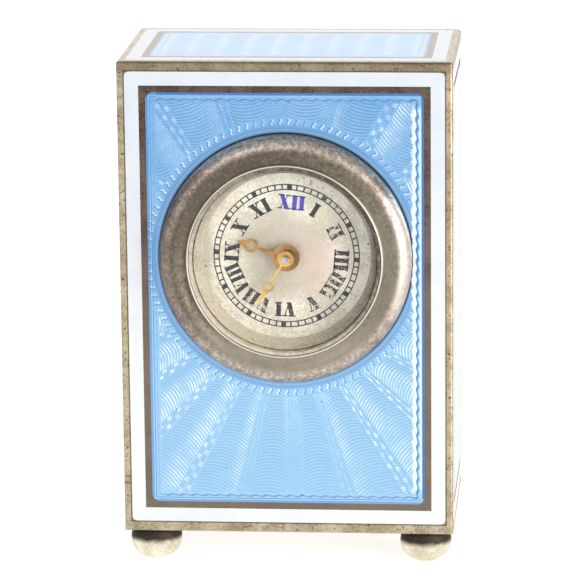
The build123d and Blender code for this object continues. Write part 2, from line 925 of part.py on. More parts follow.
# Motion work: the cannon pinion drives the hour wheel through the minute wheel
with BuildPart() as cannon_pinion:
    rod(
        [
            (cannon_tip_radius, minute_hand_front - cannon_tip_height, minute_hand_back),
            (cannon_pipe_radius, minute_hand_back, minute_wheel_back),
        ]
    )
    gear(
        cannon_leaves,
        motion_module,
        pinion_addendum_share,
        cannon_phase,
        centre_axis,
        minute_wheel_back + fit_gap,
        motion_wheel_thickness + 2 * fit_gap,
    )
    bore(setting_arbor_radius, minute_wheel_front - motion_gap, main_plate_front)
cannon_pinion.part.label = "cannon_pinion"
export_step(cannon_pinion.part, "parts/cannon_pinion.step")

with BuildPart() as hour_wheel:
    gear(
        hour_wheel_teeth,
        motion_module,
        wheel_addendum_share,
        hour_wheel_phase,
        centre_axis,
        hour_wheel_back,
        motion_wheel_thickness,
    )
    rod([(hour_pipe_radius, hour_hand_back - hand_thickness, hour_wheel_front)])
    bore(cannon_pipe_radius + running_gap, hour_hand_back - overrun_length, main_plate_front)
hour_wheel.part.label = "hour_wheel"
export_step(hour_wheel.part, "parts/hour_wheel.step")

with BuildPart() as minute_wheel:
    gear(
        minute_wheel_teeth,
        motion_module,
        wheel_addendum_share,
        minute_wheel_phase,
        minute_wheel_axis,
        minute_wheel_back,
        motion_wheel_thickness,
    )
    gear(
        minute_wheel_leaves,
        motion_module,
        pinion_addendum_share,
        minute_pinion_phase,
        minute_wheel_axis,
        minute_wheel_front,
        minute_wheel_front - hour_wheel_front + fit_gap,
    )
    bore(minute_post_radius + running_gap, dial_back, main_plate_front, minute_wheel_axis)
minute_wheel.part.label = "minute_wheel"
export_step(minute_wheel.part, "parts/minute_wheel.step")

pillar_places = [polar(pillar_place_radius, angle) for angle in pillar_angles]
cock_foot = polar(cock_foot_place_radius, cock_direction, balance_axis)
click_axis = polar(click_place_radius, click_direction, barrel_axis)
click_spring_foot = polar(click_spring_foot_place_radius, click_spring_foot_direction, barrel_axis)
pallet_bridge_places = [
    polar(pallet_bridge_half_length, lever_direction + turn_side, pallet_axis) for turn_side in (90, -90)
]
arbor_hole = train_arbor_radius + running_gap

with BuildPart() as main_plate:
    rod([(plate_radius, main_plate_front, main_plate_back)])
    bore(barrel_arbor_radius + running_gap, main_plate_front, main_plate_back, barrel_axis)
    bore(centre_arbor_radius + running_gap, main_plate_front, main_plate_back)
    for axis in (third_axis, fourth_axis, escape_axis, pallet_axis, balance_axis):
        bore(arbor_hole, main_plate_front, main_plate_back, axis)
    rod([(minute_post_radius, hour_wheel_front, main_plate_front)], minute_wheel_axis)
main_plate.part.label = "main_plate"
export_step(main_plate.part, "parts/main_plate.step")

balance_opening_radius = balance_radius + balance_side_gap

with BuildPart() as back_plate:
    rod([(plate_radius, back_plate_front, back_plate_back)])
    with BuildSketch(at_depth(back_plate_back)) as balance_opening:
        with Locations(balance_axis):
            Circle(balance_opening_radius)
        edge_angle = degrees(asin(balance_axis[1] / sqrt(balance_axis[0] ** 2 + balance_axis[1] ** 2)))
        with Locations(polar(plate_radius, edge_angle)):
            Rectangle(2 * balance_opening_radius, 2 * balance_opening_radius, rotation=edge_angle)
    extrude(balance_opening.sketch, amount=back_plate_thickness, mode=Mode.SUBTRACT)
    bore(barrel_arbor_radius + running_gap, back_plate_front, back_plate_back, barrel_axis)
    bore(centre_arbor_radius + running_gap, back_plate_front, back_plate_back)
    for axis in (third_axis, fourth_axis, escape_axis):
        bore(arbor_hole, back_plate_front, back_plate_back, axis)
    for place in [*pillar_places, cock_foot, click_axis]:
        bore(screw_radius + running_gap, back_plate_front, back_plate_back, place)
back_plate.part.label = "back_plate"
export_step(back_plate.part, "parts/back_plate.step")

with BuildPart() as pillars:
    for place in pillar_places:
        rod([(pillar_radius, main_plate_back, back_plate_front)], place)
        bore(
            screw_radius + running_gap,
            back_plate_front - screw_grip_length - fit_gap,
            back_plate_front,
            place,
        )
pillars.part.label = "pillars"
export_step(pillars.part, "parts/pillars.step")

with BuildPart() as movement_clamps:
    for angle in post_angles:
        inner = plate_radius - clamp_reach_length
        outer = post_place_radius + post_radius
        with BuildSketch(at_depth(main_plate_back + clamp_thickness)) as clamp:
            with Locations(polar((inner + outer) / 2, angle)):
                Rectangle(outer - inner, clamp_width, rotation=angle)
            with Locations(polar(post_place_radius, angle)):
                Circle(screw_radius + running_gap, mode=Mode.SUBTRACT)
        extrude(clamp.sketch, amount=clamp_thickness)
movement_clamps.part.label = "movement_clamps"
export_step(movement_clamps.part, "parts/movement_clamps.step")

with BuildPart() as movement_screws:
    for place in pillar_places:
        screw(back_plate_back, back_plate_thickness + screw_grip_length, place)
    screw(cock_back, cock_back - back_plate_front, cock_foot)
    screw(click_back + fit_gap, click_back + fit_gap - back_plate_front, click_axis)
    for angle in post_angles:
        screw(
            main_plate_back + clamp_thickness,
            clamp_thickness + screw_grip_length,
            polar(post_place_radius, angle),
        )
movement_screws.part.label = "movement_screws"
export_step(movement_screws.part, "parts/movement_screws.step")

# Barrel with its cover, spring and arbor
barrel_tooth_front = barrel_back - barrel_tooth_height

with BuildPart() as barrel:
    gear(
        barrel_teeth,
        barrel_module,
        wheel_addendum_share,
        barrel_phase,
        barrel_axis,
        barrel_back,
        barrel_tooth_height,
    )
    rod([(barrel_drum_radius, barrel_front, barrel_tooth_front)], barrel_axis)
    bore(
        barrel_drum_radius - barrel_wall_thickness,
        barrel_front,
        barrel_back - barrel_end_thickness,
        barrel_axis,
    )
    bore(barrel_arbor_radius + running_gap, barrel_front, barrel_back, barrel_axis)
barrel.part.label = "barrel"
export_step(barrel.part, "parts/barrel.step")

cover_back = barrel_front + barrel_cover_thickness

with BuildPart() as barrel_cover:
    tube(
        barrel_arbor_radius + running_gap,
        barrel_drum_radius - barrel_wall_thickness - fit_gap,
        barrel_front,
        cover_back,
        barrel_axis,
    )
barrel_cover.part.label = "barrel_cover"
export_step(barrel_cover.part, "parts/barrel_cover.step")

spring_back = barrel_back - barrel_end_thickness - mainspring_end_gap
spring_height = spring_back - cover_back - mainspring_end_gap

with BuildPart() as mainspring:
    with BuildSketch(at_depth(spring_back, barrel_axis)):
        with BuildLine():
            spiral(arbor_core_radius + mainspring_thickness, mainspring_pitch, mainspring_half_turns)
        trace(line_width=mainspring_thickness)
    extrude(amount=spring_height)
mainspring.part.label = "mainspring"
export_step(mainspring.part, "parts/mainspring.step")

with BuildPart() as barrel_arbor:
    rod(
        [
            (barrel_arbor_radius, main_plate_front, cover_back + fit_gap),
            (arbor_core_radius, cover_back + fit_gap, barrel_back - barrel_end_thickness - fit_gap),
            (barrel_arbor_radius, barrel_back - barrel_end_thickness - fit_gap, ratchet_front),
        ],
        barrel_axis,
    )
    with BuildSketch(at_depth(ratchet_front + arbor_square_length, barrel_axis)):
        Rectangle(arbor_square_width, arbor_square_width)
    extrude(amount=arbor_square_length)
barrel_arbor.part.label = "barrel_arbor"
export_step(barrel_arbor.part, "parts/barrel_arbor.step")

socket_size = arbor_square_width + 2 * running_gap
ratchet_phase = click_tip_direction - click_seat_share * 360 / ratchet_teeth

with BuildPart() as ratchet_wheel:
    with BuildSketch(at_depth(ratchet_back, barrel_axis)):
        with BuildLine():
            Polyline(
                *saw_points(
                    ratchet_teeth,
                    ratchet_radius,
                    ratchet_tooth_height,
                    ratchet_phase,
                    saw_lean_share,
                ),
                close=True,
            )
        make_face()
        Rectangle(socket_size, socket_size, mode=Mode.SUBTRACT)
    extrude(amount=ratchet_thickness)
ratchet_wheel.part.label = "ratchet_wheel"
export_step(ratchet_wheel.part, "parts/ratchet_wheel.step")

# Click: its tip lies between two ratchet teeth, and its screw is its pivot
click_tip = polar(ratchet_radius - click_engagement_depth, click_tip_direction, barrel_axis)

with BuildPart() as click:
    with BuildSketch(at_depth(click_back)):
        with Locations(click_axis):
            Circle(click_boss_radius)
        with BuildLine():
            Polyline(
                click_tip,
                polar(click_boss_radius, click_direction - 90, click_axis),
                polar(click_boss_radius, click_direction + 90, click_axis),
                close=True,
            )
        make_face()
        with Locations(click_axis):
            Circle(screw_radius + running_gap, mode=Mode.SUBTRACT)
    extrude(amount=click_thickness)
click.part.label = "click"
export_step(click.part, "parts/click.step")

# Click spring: a bent strip from a riveted foot to the back of the click
click_back_edge = polar(click_boss_radius, click_direction + 90, click_axis)
click_middle = (
    click_back_edge[0] + (click_tip[0] - click_back_edge[0]) * click_spring_reach_share,
    click_back_edge[1] + (click_tip[1] - click_back_edge[1]) * click_spring_reach_share,
)
click_edge_angle = degrees(
    atan2(click_tip[1] - click_back_edge[1], click_tip[0] - click_back_edge[0])
)
click_spring_end = polar(
    click_spring_gap + click_spring_thickness / 2, click_edge_angle - 90, click_middle
)
click_spring_middle = (
    (click_spring_end[0] + click_spring_foot[0]) / 2,
    (click_spring_end[1] + click_spring_foot[1]) / 2 + click_spring_rise_height,
)

with BuildPart() as click_spring:
    with BuildSketch(at_depth(ratchet_front + click_spring_height)):
        with BuildLine():
            ThreePointArc(click_spring_end, click_spring_middle, click_spring_foot)
        trace(line_width=click_spring_thickness)
        with Locations(click_spring_foot):
            Circle(click_spring_foot_radius)
    extrude(amount=click_spring_height + ratchet_gap)
click_spring.part.label = "click_spring"
export_step(click_spring.part, "parts/click_spring.step")

# Winding key on the square of the barrel arbor, with a bow that folds flat
with BuildPart() as winding_key:
    rod([(key_radius, key_front, key_back)], barrel_axis)
    with BuildSketch(at_depth(key_back, barrel_axis, bow_direction)) as flats:
        Rectangle(2 * key_radius + overrun_length, 2 * key_radius + overrun_length)
        Rectangle(2 * key_radius + 2 * overrun_length, key_head_width, mode=Mode.SUBTRACT)
    extrude(flats.sketch, amount=key_head_length, mode=Mode.SUBTRACT)
    with BuildSketch(at_depth(ratchet_front + arbor_square_length + fit_gap, barrel_axis)) as socket:
        Rectangle(socket_size, socket_size)
    extrude(socket.sketch, amount=arbor_square_length, mode=Mode.SUBTRACT)
    bow_plane = at_depth(bow_axis_depth, barrel_axis, bow_direction)
    pin_plane = Plane(origin=bow_plane.origin, x_dir=(0, 1, 0), z_dir=bow_plane.y_dir)
    with BuildSketch(pin_plane) as pin:
        Circle(key_pin_radius)
    extrude(pin.sketch, amount=key_head_width / 2 + key_pin_end_length, both=True)
winding_key.part.label = "winding_key"
export_step(winding_key.part, "parts/winding_key.step")

bow_back = bow_axis_depth + bow_thickness / 2

with BuildPart() as key_bow:
    with BuildSketch(at_depth(bow_back, barrel_axis, bow_direction)):
        with Locations((bow_length / 2 - bow_thickness / 4, 0)):
            RectangleRounded(bow_length + bow_thickness / 2, bow_width, bow_corner_radius)
        with Locations((0, 0)):
            Rectangle(
                2 * bow_notch_depth, key_head_width + 2 * bow_side_gap, mode=Mode.SUBTRACT
            )
        with Locations((bow_length - bow_hole_radius - bow_ear_width, 0)):
            Circle(bow_hole_radius, mode=Mode.SUBTRACT)
    extrude(amount=bow_thickness)
    with BuildSketch(pin_plane) as pin_hole:
        Circle(key_pin_radius + running_gap)
    extrude(pin_hole.sketch, amount=bow_width, both=True, mode=Mode.SUBTRACT)
key_bow.part.label = "key_bow"
export_step(key_bow.part, "parts/key_bow.step")

# Centre wheel on a hollow arbor, which the setting arbor passes through
with BuildPart() as centre_wheel:
    crossed_gear(
        centre_teeth, centre_module, centre_phase, centre_axis, centre_wheel_back, wheel_arms
    )
    gear(
        centre_leaves,
        barrel_module,
        pinion_addendum_share,
        centre_pinion_phase,
        centre_axis,
        centre_pinion_back,
        centre_pinion_back - centre_pinion_front,
    )
    rod([(centre_arbor_radius, main_plate_front, back_plate_back)])
    bore(setting_arbor_radius + running_gap, main_plate_front, back_plate_back)
centre_wheel.part.label = "centre_wheel"
export_step(centre_wheel.part, "parts/centre_wheel.step")

with BuildPart() as setting_arbor:
    rod([(setting_arbor_radius, minute_wheel_front - motion_gap, knob_front + knob_height)])
setting_arbor.part.label = "setting_arbor"
export_step(setting_arbor.part, "parts/setting_arbor.step")

with BuildPart() as setting_knob:
    with BuildSketch(at_depth(knob_front + knob_height)):
        with BuildLine():
            Polyline(
                *saw_points(knob_ridges, knob_radius, knob_ridge_depth, 0, knob_ridge_share),
                close=True,
            )
        make_face()
        Circle(setting_arbor_radius, mode=Mode.SUBTRACT)
    extrude(amount=knob_height)
setting_knob.part.label = "setting_knob"
export_step(setting_knob.part, "parts/setting_knob.step")


def wheel_arbor(axis):
    """A straight arbor that runs in both plates."""
    rod(
        [(train_arbor_radius, main_plate_front + arbor_end_gap, back_plate_back - arbor_end_gap)],
        axis,
    )


with BuildPart() as third_wheel:
    crossed_gear(third_teeth, third_module, third_phase, third_axis, third_wheel_back, wheel_arms)
    gear(
        third_leaves,
        centre_module,
        pinion_addendum_share,
        third_pinion_phase,
        third_axis,
        centre_wheel_back + fit_gap,
        wheel_thickness + 2 * fit_gap,
    )
    wheel_arbor(third_axis)
third_wheel.part.label = "third_wheel"
export_step(third_wheel.part, "parts/third_wheel.step")

with BuildPart() as fourth_wheel:
    crossed_gear(
        fourth_teeth, fourth_module, fourth_phase, fourth_axis, fourth_wheel_back, wheel_arms
    )
    gear(
        fourth_leaves,
        third_module,
        pinion_addendum_share,
        fourth_pinion_phase,
        fourth_axis,
        third_wheel_back + fit_gap,
        wheel_thickness + 2 * fit_gap,
    )
    wheel_arbor(fourth_axis)
fourth_wheel.part.label = "fourth_wheel"
export_step(fourth_wheel.part, "parts/fourth_wheel.step")

with BuildPart() as escape_wheel:
    with BuildSketch(at_depth(escape_wheel_back, escape_axis)) as escape_outline:
        with BuildLine():
            Polyline(
                *saw_points(
                    escape_teeth,
                    escape_radius - pallet_stone_gap,
                    escape_tooth_height,
                    lever_direction + escape_set_share * 360 / escape_teeth,
                    escape_lean_share,
                ),
                close=True,
            )
        make_face()
    extrude(escape_outline.sketch, amount=pallet_thickness)
    gear(
        escape_leaves,
        fourth_module,
        pinion_addendum_share,
        escape_pinion_phase,
        escape_axis,
        fourth_wheel_back + fit_gap,
        wheel_thickness + 2 * fit_gap,
    )
    wheel_arbor(escape_axis)
escape_wheel.part.label = "escape_wheel"
export_step(escape_wheel.part, "parts/escape_wheel.step")

# Lever with its two pallet stones; the fork's notch faces the balance
fork_end = polar(lever_length, lever_direction, pallet_axis)

with BuildPart() as pallet_fork:
    with BuildSketch(at_depth(lever_back)):
        with Locations(pallet_axis):
            Circle(pallet_hub_radius)
        for stone_side in (1, -1):
            stone = polar(escape_radius, lever_direction + stone_side * stone_angle, escape_axis)
            stone_middle = polar(
                pallet_stone_length / 2 - pallet_stone_width / 2 + pallet_stone_gap,
                lever_direction + stone_side * stone_angle,
                stone,
            )
            with BuildLine() as arm:
                Line(pallet_axis, stone_middle)
            trace(arm.edges(), line_width=pallet_arm_width)
            with Locations(stone_middle):
                Rectangle(
                    pallet_stone_length,
                    pallet_stone_width,
                    rotation=lever_direction + stone_side * stone_angle,
                )
        with BuildLine() as lever:
            Line(pallet_axis, fork_end)
        trace(lever.edges(), line_width=pallet_arm_width)
        with Locations(polar(lever_length - fork_depth, lever_direction, pallet_axis)):
            Rectangle(2 * fork_depth, fork_width, rotation=lever_direction)
        with Locations(fork_end):
            Rectangle(2 * fork_depth, fork_notch_width, rotation=lever_direction, mode=Mode.SUBTRACT)
    extrude(amount=pallet_thickness)
    rod(
        [
            (
                train_arbor_radius,
                main_plate_front + arbor_end_gap,
                lever_back + level_gap + pallet_bridge_thickness,
            )
        ],
        pallet_axis,
    )
pallet_fork.part.label = "pallet_fork"
export_step(pallet_fork.part, "parts/pallet_fork.step")

with BuildPart() as pallet_bridge:
    with BuildSketch(at_depth(lever_back + level_gap + pallet_bridge_thickness)) as bar:
        with BuildLine() as span:
            Line(*pallet_bridge_places)
        trace(span.edges(), line_width=pallet_bridge_width)
        with Locations(*pallet_bridge_places):
            Circle(pallet_bridge_width / 2)
        with Locations(pallet_axis):
            Circle(arbor_hole, mode=Mode.SUBTRACT)
    extrude(bar.sketch, amount=pallet_bridge_thickness)
    for place in pallet_bridge_places:
        rod([(pallet_bridge_post_radius, main_plate_back, lever_back + level_gap)], place)
pallet_bridge.part.label = "pallet_bridge"
export_step(pallet_bridge.part, "parts/pallet_bridge.step")

# Balance, with its staff, roller, impulse pin and hairspring
with BuildPart() as balance_wheel:
    with BuildSketch(at_depth(balance_back, balance_axis)):
        Circle(balance_radius)
        Circle(balance_radius - balance_rim_width, mode=Mode.SUBTRACT)
        Rectangle(
            2 * balance_radius - balance_rim_width, balance_arm_width, rotation=lever_direction
        )
        Circle(hub_radius)
        Circle(balance_staff_radius, mode=Mode.SUBTRACT)
    extrude(amount=balance_thickness)
balance_wheel.part.label = "balance_wheel"
export_step(balance_wheel.part, "parts/balance_wheel.step")

with BuildPart() as balance_staff:
    rod(
        [
            (balance_staff_radius, main_plate_front + arbor_end_gap, roller_front),
            (roller_radius, roller_front, roller_front + roller_thickness),
            (balance_staff_radius, roller_front + roller_thickness, hairspring_front),
            (hairspring_start_radius, hairspring_front, hairspring_back),
            (balance_staff_radius, hairspring_back, cock_back - arbor_end_gap),
        ],
        balance_axis,
    )
    impulse_place = polar(-impulse_pin_place_radius, lever_direction, balance_axis)
    with BuildSketch(at_depth(roller_front + roller_thickness)) as ear:
        with Locations(impulse_place):
            Circle(roller_ear_radius)
    extrude(ear.sketch, amount=roller_thickness)
    with BuildSketch(at_depth(roller_front)) as impulse_pin:
        with Locations(impulse_place):
            Circle(impulse_pin_radius)
    extrude(impulse_pin.sketch, amount=roller_front - lever_front)
balance_staff.part.label = "balance_staff"
export_step(balance_staff.part, "parts/balance_staff.step")

with BuildPart() as hairspring:
    with BuildSketch(at_depth(hairspring_back, balance_axis)):
        with BuildLine():
            spiral(hairspring_start_radius, hairspring_pitch, hairspring_half_turns)
        trace(line_width=hairspring_thickness)
        Circle(hairspring_start_radius, mode=Mode.SUBTRACT)
    extrude(amount=hairspring_height)
hairspring.part.label = "hairspring"
export_step(hairspring.part, "parts/hairspring.step")

hairspring_reach = hairspring_start_radius + hairspring_pitch * hairspring_half_turns / 2
print("least gap between mainspring turns", round(mainspring_pitch - mainspring_thickness, 3))
print("least gap between hairspring turns", round(hairspring_pitch - hairspring_thickness, 3))

with BuildPart() as balance_cock:
    with BuildSketch(at_depth(cock_back)) as cock_shape:
        with BuildLine():
            head_low = polar(cock_head_radius, cock_direction - 90, balance_axis)
            head_high = polar(cock_head_radius, cock_direction + 90, balance_axis)
            foot_low = polar(cock_foot_radius, cock_direction - 90, cock_foot)
            foot_high = polar(cock_foot_radius, cock_direction + 90, cock_foot)
            ThreePointArc(
                head_low, polar(-cock_head_radius, cock_direction, balance_axis), head_high
            )
            Line(head_high, foot_high)
            ThreePointArc(foot_high, polar(cock_foot_radius, cock_direction, cock_foot), foot_low)
            Line(foot_low, head_low)
        make_face()
    extrude(cock_shape.sketch, amount=cock_thickness)
    rod([(cock_foot_radius, back_plate_back, cock_front)], cock_foot)
    stud_place = polar(
        hairspring_reach + hairspring_thickness + stud_width, cock_direction, balance_axis
    )
    with BuildSketch(at_depth(cock_front)) as stud:
        with Locations(stud_place):
            Rectangle(stud_width, stud_width, rotation=cock_direction)
    extrude(stud.sketch, amount=cock_front - hairspring_front)
    bore(balance_staff_radius + running_gap, balance_back, cock_back, balance_axis)
    bore(screw_radius + running_gap, back_plate_front, cock_back, cock_foot)
balance_cock.part.label = "balance_cock"
export_step(balance_cock.part, "parts/balance_cock.step")

with BuildPart() as end_cap:
    rod([(cap_radius, cock_back, cock_back + cap_height)], balance_axis)
end_cap.part.label = "end_cap"
export_step(end_cap.part, "parts/end_cap.step")

index_inner = cap_radius + running_gap
index_end = polar(index_length, index_direction, balance_axis)

with BuildPart() as regulator:
    with BuildSketch(at_depth(cock_back + index_thickness)):
        with Locations(balance_axis):
            Circle(index_inner + index_ring_width)
        with BuildLine():
            Polyline(
                polar(index_inner, index_direction - index_root_angle, balance_axis),
                polar(index_inner, index_direction + index_root_angle, balance_axis),
                polar(index_end_width / 2, index_direction + 90, index_end),
                polar(index_end_width / 2, index_direction - 90, index_end),
                close=True,
            )
        make_face()
        with Locations(balance_axis):
            Circle(index_inner, mode=Mode.SUBTRACT)
    extrude(amount=index_thickness)
regulator.part.label = "regulator"
export_step(regulator.part, "parts/regulator.step")

# Rear door, its hinge pin and the spring that holds it shut
door_width = case_width - 2 * door_land_width - 2 * door_gap
door_height = case_height - 2 * door_land_width - 2 * door_gap
tongue_x = -cavity_width / 2 + tongue_inset_length

with BuildPart() as rear_door:
    with BuildSketch(across(rear_y)) as leaf:
        Rectangle(door_width, door_height)
    extrude(leaf.sketch, amount=door_thickness - fit_gap)
    outer_edges = rear_door.faces().sort_by(Axis.Y)[-1].edges()
    fillet(outer_edges, door_edge_radius)
    with BuildSketch(across(rear_y + thumb_lip_reach_length)) as thumb_lip:
        with Locations((-door_width / 2 + thumb_lip_thickness, 0)):
            Rectangle(thumb_lip_thickness, thumb_lip_length)
    extrude(thumb_lip.sketch, amount=thumb_lip_reach_length + door_thickness / 2)
    with BuildSketch(across(rear_y - door_thickness / 2)) as tongue:
        with Locations((tongue_x + tongue_thickness / 2, 0)):
            Rectangle(tongue_thickness, tongue_width)
    extrude(tongue.sketch, amount=tongue_reach_length + door_thickness / 2)
    knuckle_reliefs(case_knuckles)
    knuckles(door_knuckles)
    hinge_bore()
rear_door.part.label = "rear_door"
export_step(rear_door.part, "parts/rear_door.step")

with BuildPart() as door_hinge_pin:
    with BuildSketch(Plane(origin=(hinge_x, hinge_y, hinge_bottom))):
        Circle(hinge_pin_radius)
    extrude(amount=hinge_length)
door_hinge_pin.part.label = "door_hinge_pin"
export_step(door_hinge_pin.part, "parts/door_hinge_pin.step")

catch_back_y = rear_y - door_thickness - catch_door_gap
catch_surface = -cavity_width / 2 + catch_thickness

with BuildPart() as door_catch:
    with BuildSketch(Plane.XY.offset(case_mid_z - catch_width / 2)):
        with BuildLine():
            Polyline(
                (catch_surface, catch_back_y - catch_bump_length),
                (catch_surface, catch_back_y - catch_length),
                (-cavity_width / 2, catch_back_y - catch_length),
                (-cavity_width / 2, catch_back_y),
                (catch_surface, catch_back_y),
            )
            ThreePointArc(
                (catch_surface, catch_back_y),
                (catch_surface + catch_bump_height, catch_back_y - catch_bump_length / 2),
                (catch_surface, catch_back_y - catch_bump_length),
            )
        make_face()
    extrude(amount=catch_width)
door_catch.part.label = "door_catch"
export_step(door_catch.part, "parts/door_catch.step")
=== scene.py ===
import json
from math import cos, pi, radians, sin

import bmesh
import bpy
from mathutils import Matrix, Vector


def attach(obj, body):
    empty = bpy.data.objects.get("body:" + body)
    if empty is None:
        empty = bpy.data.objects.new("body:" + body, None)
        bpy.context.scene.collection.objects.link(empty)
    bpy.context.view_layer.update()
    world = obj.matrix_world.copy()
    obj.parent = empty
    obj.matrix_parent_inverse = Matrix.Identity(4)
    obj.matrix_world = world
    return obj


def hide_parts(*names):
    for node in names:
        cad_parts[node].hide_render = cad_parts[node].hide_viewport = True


# Looks of the pendulette clock. Sizes are in millimetres, as in the solids, and MM turns them
# into Blender's metres. A depth is measured backwards from the flat front face of the case.
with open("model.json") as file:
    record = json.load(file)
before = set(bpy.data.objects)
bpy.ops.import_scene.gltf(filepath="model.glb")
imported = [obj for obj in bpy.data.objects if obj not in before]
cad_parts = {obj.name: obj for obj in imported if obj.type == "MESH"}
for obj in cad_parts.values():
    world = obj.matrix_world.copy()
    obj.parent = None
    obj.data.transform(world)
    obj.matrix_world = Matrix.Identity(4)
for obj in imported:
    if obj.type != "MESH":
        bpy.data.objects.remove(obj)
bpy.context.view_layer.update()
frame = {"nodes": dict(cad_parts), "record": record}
NODES = frame["nodes"]
MM = 0.001

FRONT_Y = -9.85
REAR_Y = 11.15
CASE_TOP = 52.7
CASE_MID_Y = (FRONT_Y + REAR_Y) / 2
CASE_MID_Z = 28.1
DIAL_Z = 32.5
# Half sizes of the front's white frame, and of the blue panels on the front, top and sides
WHITE_HALF_WIDTH, WHITE_HALF_HEIGHT = 16.24, 23.61
PANEL_HALF_WIDTH, PANEL_HALF_HEIGHT = 14.07, 21.44
TOP_HALF_DEPTH, SIDE_HALF_DEPTH = 7.34, 7.57
# Radii of the bezel: its dome's edge, the lip, and the glass's slope from its top to its foot
DOME_EDGE = 12.85
LIP = 9.9
SLOPE_TOP, SLOPE_FOOT = 9.33, 8.6


def place(x, y, z):
    return Vector((x * MM, y * MM, z * MM))


def linear(*colour):
    """A colour measured from 0 to 255 on the screen, as the linear values of a shader."""
    shares = [value / 255 for value in colour]
    return tuple(s / 12.92 if s <= 0.04045 else ((s + 0.055) / 1.055) ** 2.4 for s in shares) + (1,)


# ---------------------------------------------------------------- material fields


class Field:
    """A number that varies over a surface, worked out by a material's nodes."""

    def __init__(self, tree, socket):
        self.tree = tree
        self.socket = socket

    def math(self, operation, *values):
        node = self.tree.nodes.new("ShaderNodeMath")
        node.operation = operation
        for number, value in enumerate((self,) + values):
            if isinstance(value, Field):
                self.tree.links.new(value.socket, node.inputs[number])
            else:
                node.inputs[number].default_value = value
        return Field(self.tree, node.outputs[0])

    def __add__(self, other):
        return self.math("ADD", other)

    def __sub__(self, other):
        return self.math("SUBTRACT", other)

    def __mul__(self, other):
        return self.math("MULTIPLY", other)

    def __truediv__(self, other):
        return self.math("DIVIDE", other)

    def __rsub__(self, other):
        return self.math("MULTIPLY", -1.0).math("ADD", other)

    def fract(self):
        return self.math("FRACT")

    def abs(self):
        return self.math("ABSOLUTE")

    def sin(self):
        return self.math("SINE")

    def low(self, other):
        return self.math("MINIMUM", other)

    def high(self, other):
        return self.math("MAXIMUM", other)

    def root(self):
        return self.math("SQRT")

    def above(self, level):
        return self.math("GREATER_THAN", level)

    def distance(self, other):
        """How far a place with these two coordinates lies from the centre."""
        return (self * self + other * other).root()

    def turns(self, rise):
        """Turns from straight down to a place, where the field is its way to the right."""
        return self.math("ARCTAN2", rise * -1.0) / (2 * pi)

    def step(self, start, end):
        """Rises smoothly from 0 at start to 1 at end. An end below start makes it fall."""
        node = self.tree.nodes.new("ShaderNodeMapRange")
        node.interpolation_type = "SMOOTHSTEP"
        node.inputs["From Min"].default_value = min(start, end)
        node.inputs["From Max"].default_value = max(start, end)
        node.inputs["To Min"].default_value = 0.0 if start < end else 1.0
        node.inputs["To Max"].default_value = 1.0 if start < end else 0.0
        self.tree.links.new(self.socket, node.inputs["Value"])
        return Field(self.tree, node.outputs["Result"])

    def line(self, at, width):
        """1 on a line where the field has a value, falling to 0 at half the width."""
        return (self - at).abs().step(width / 2, width / 8)


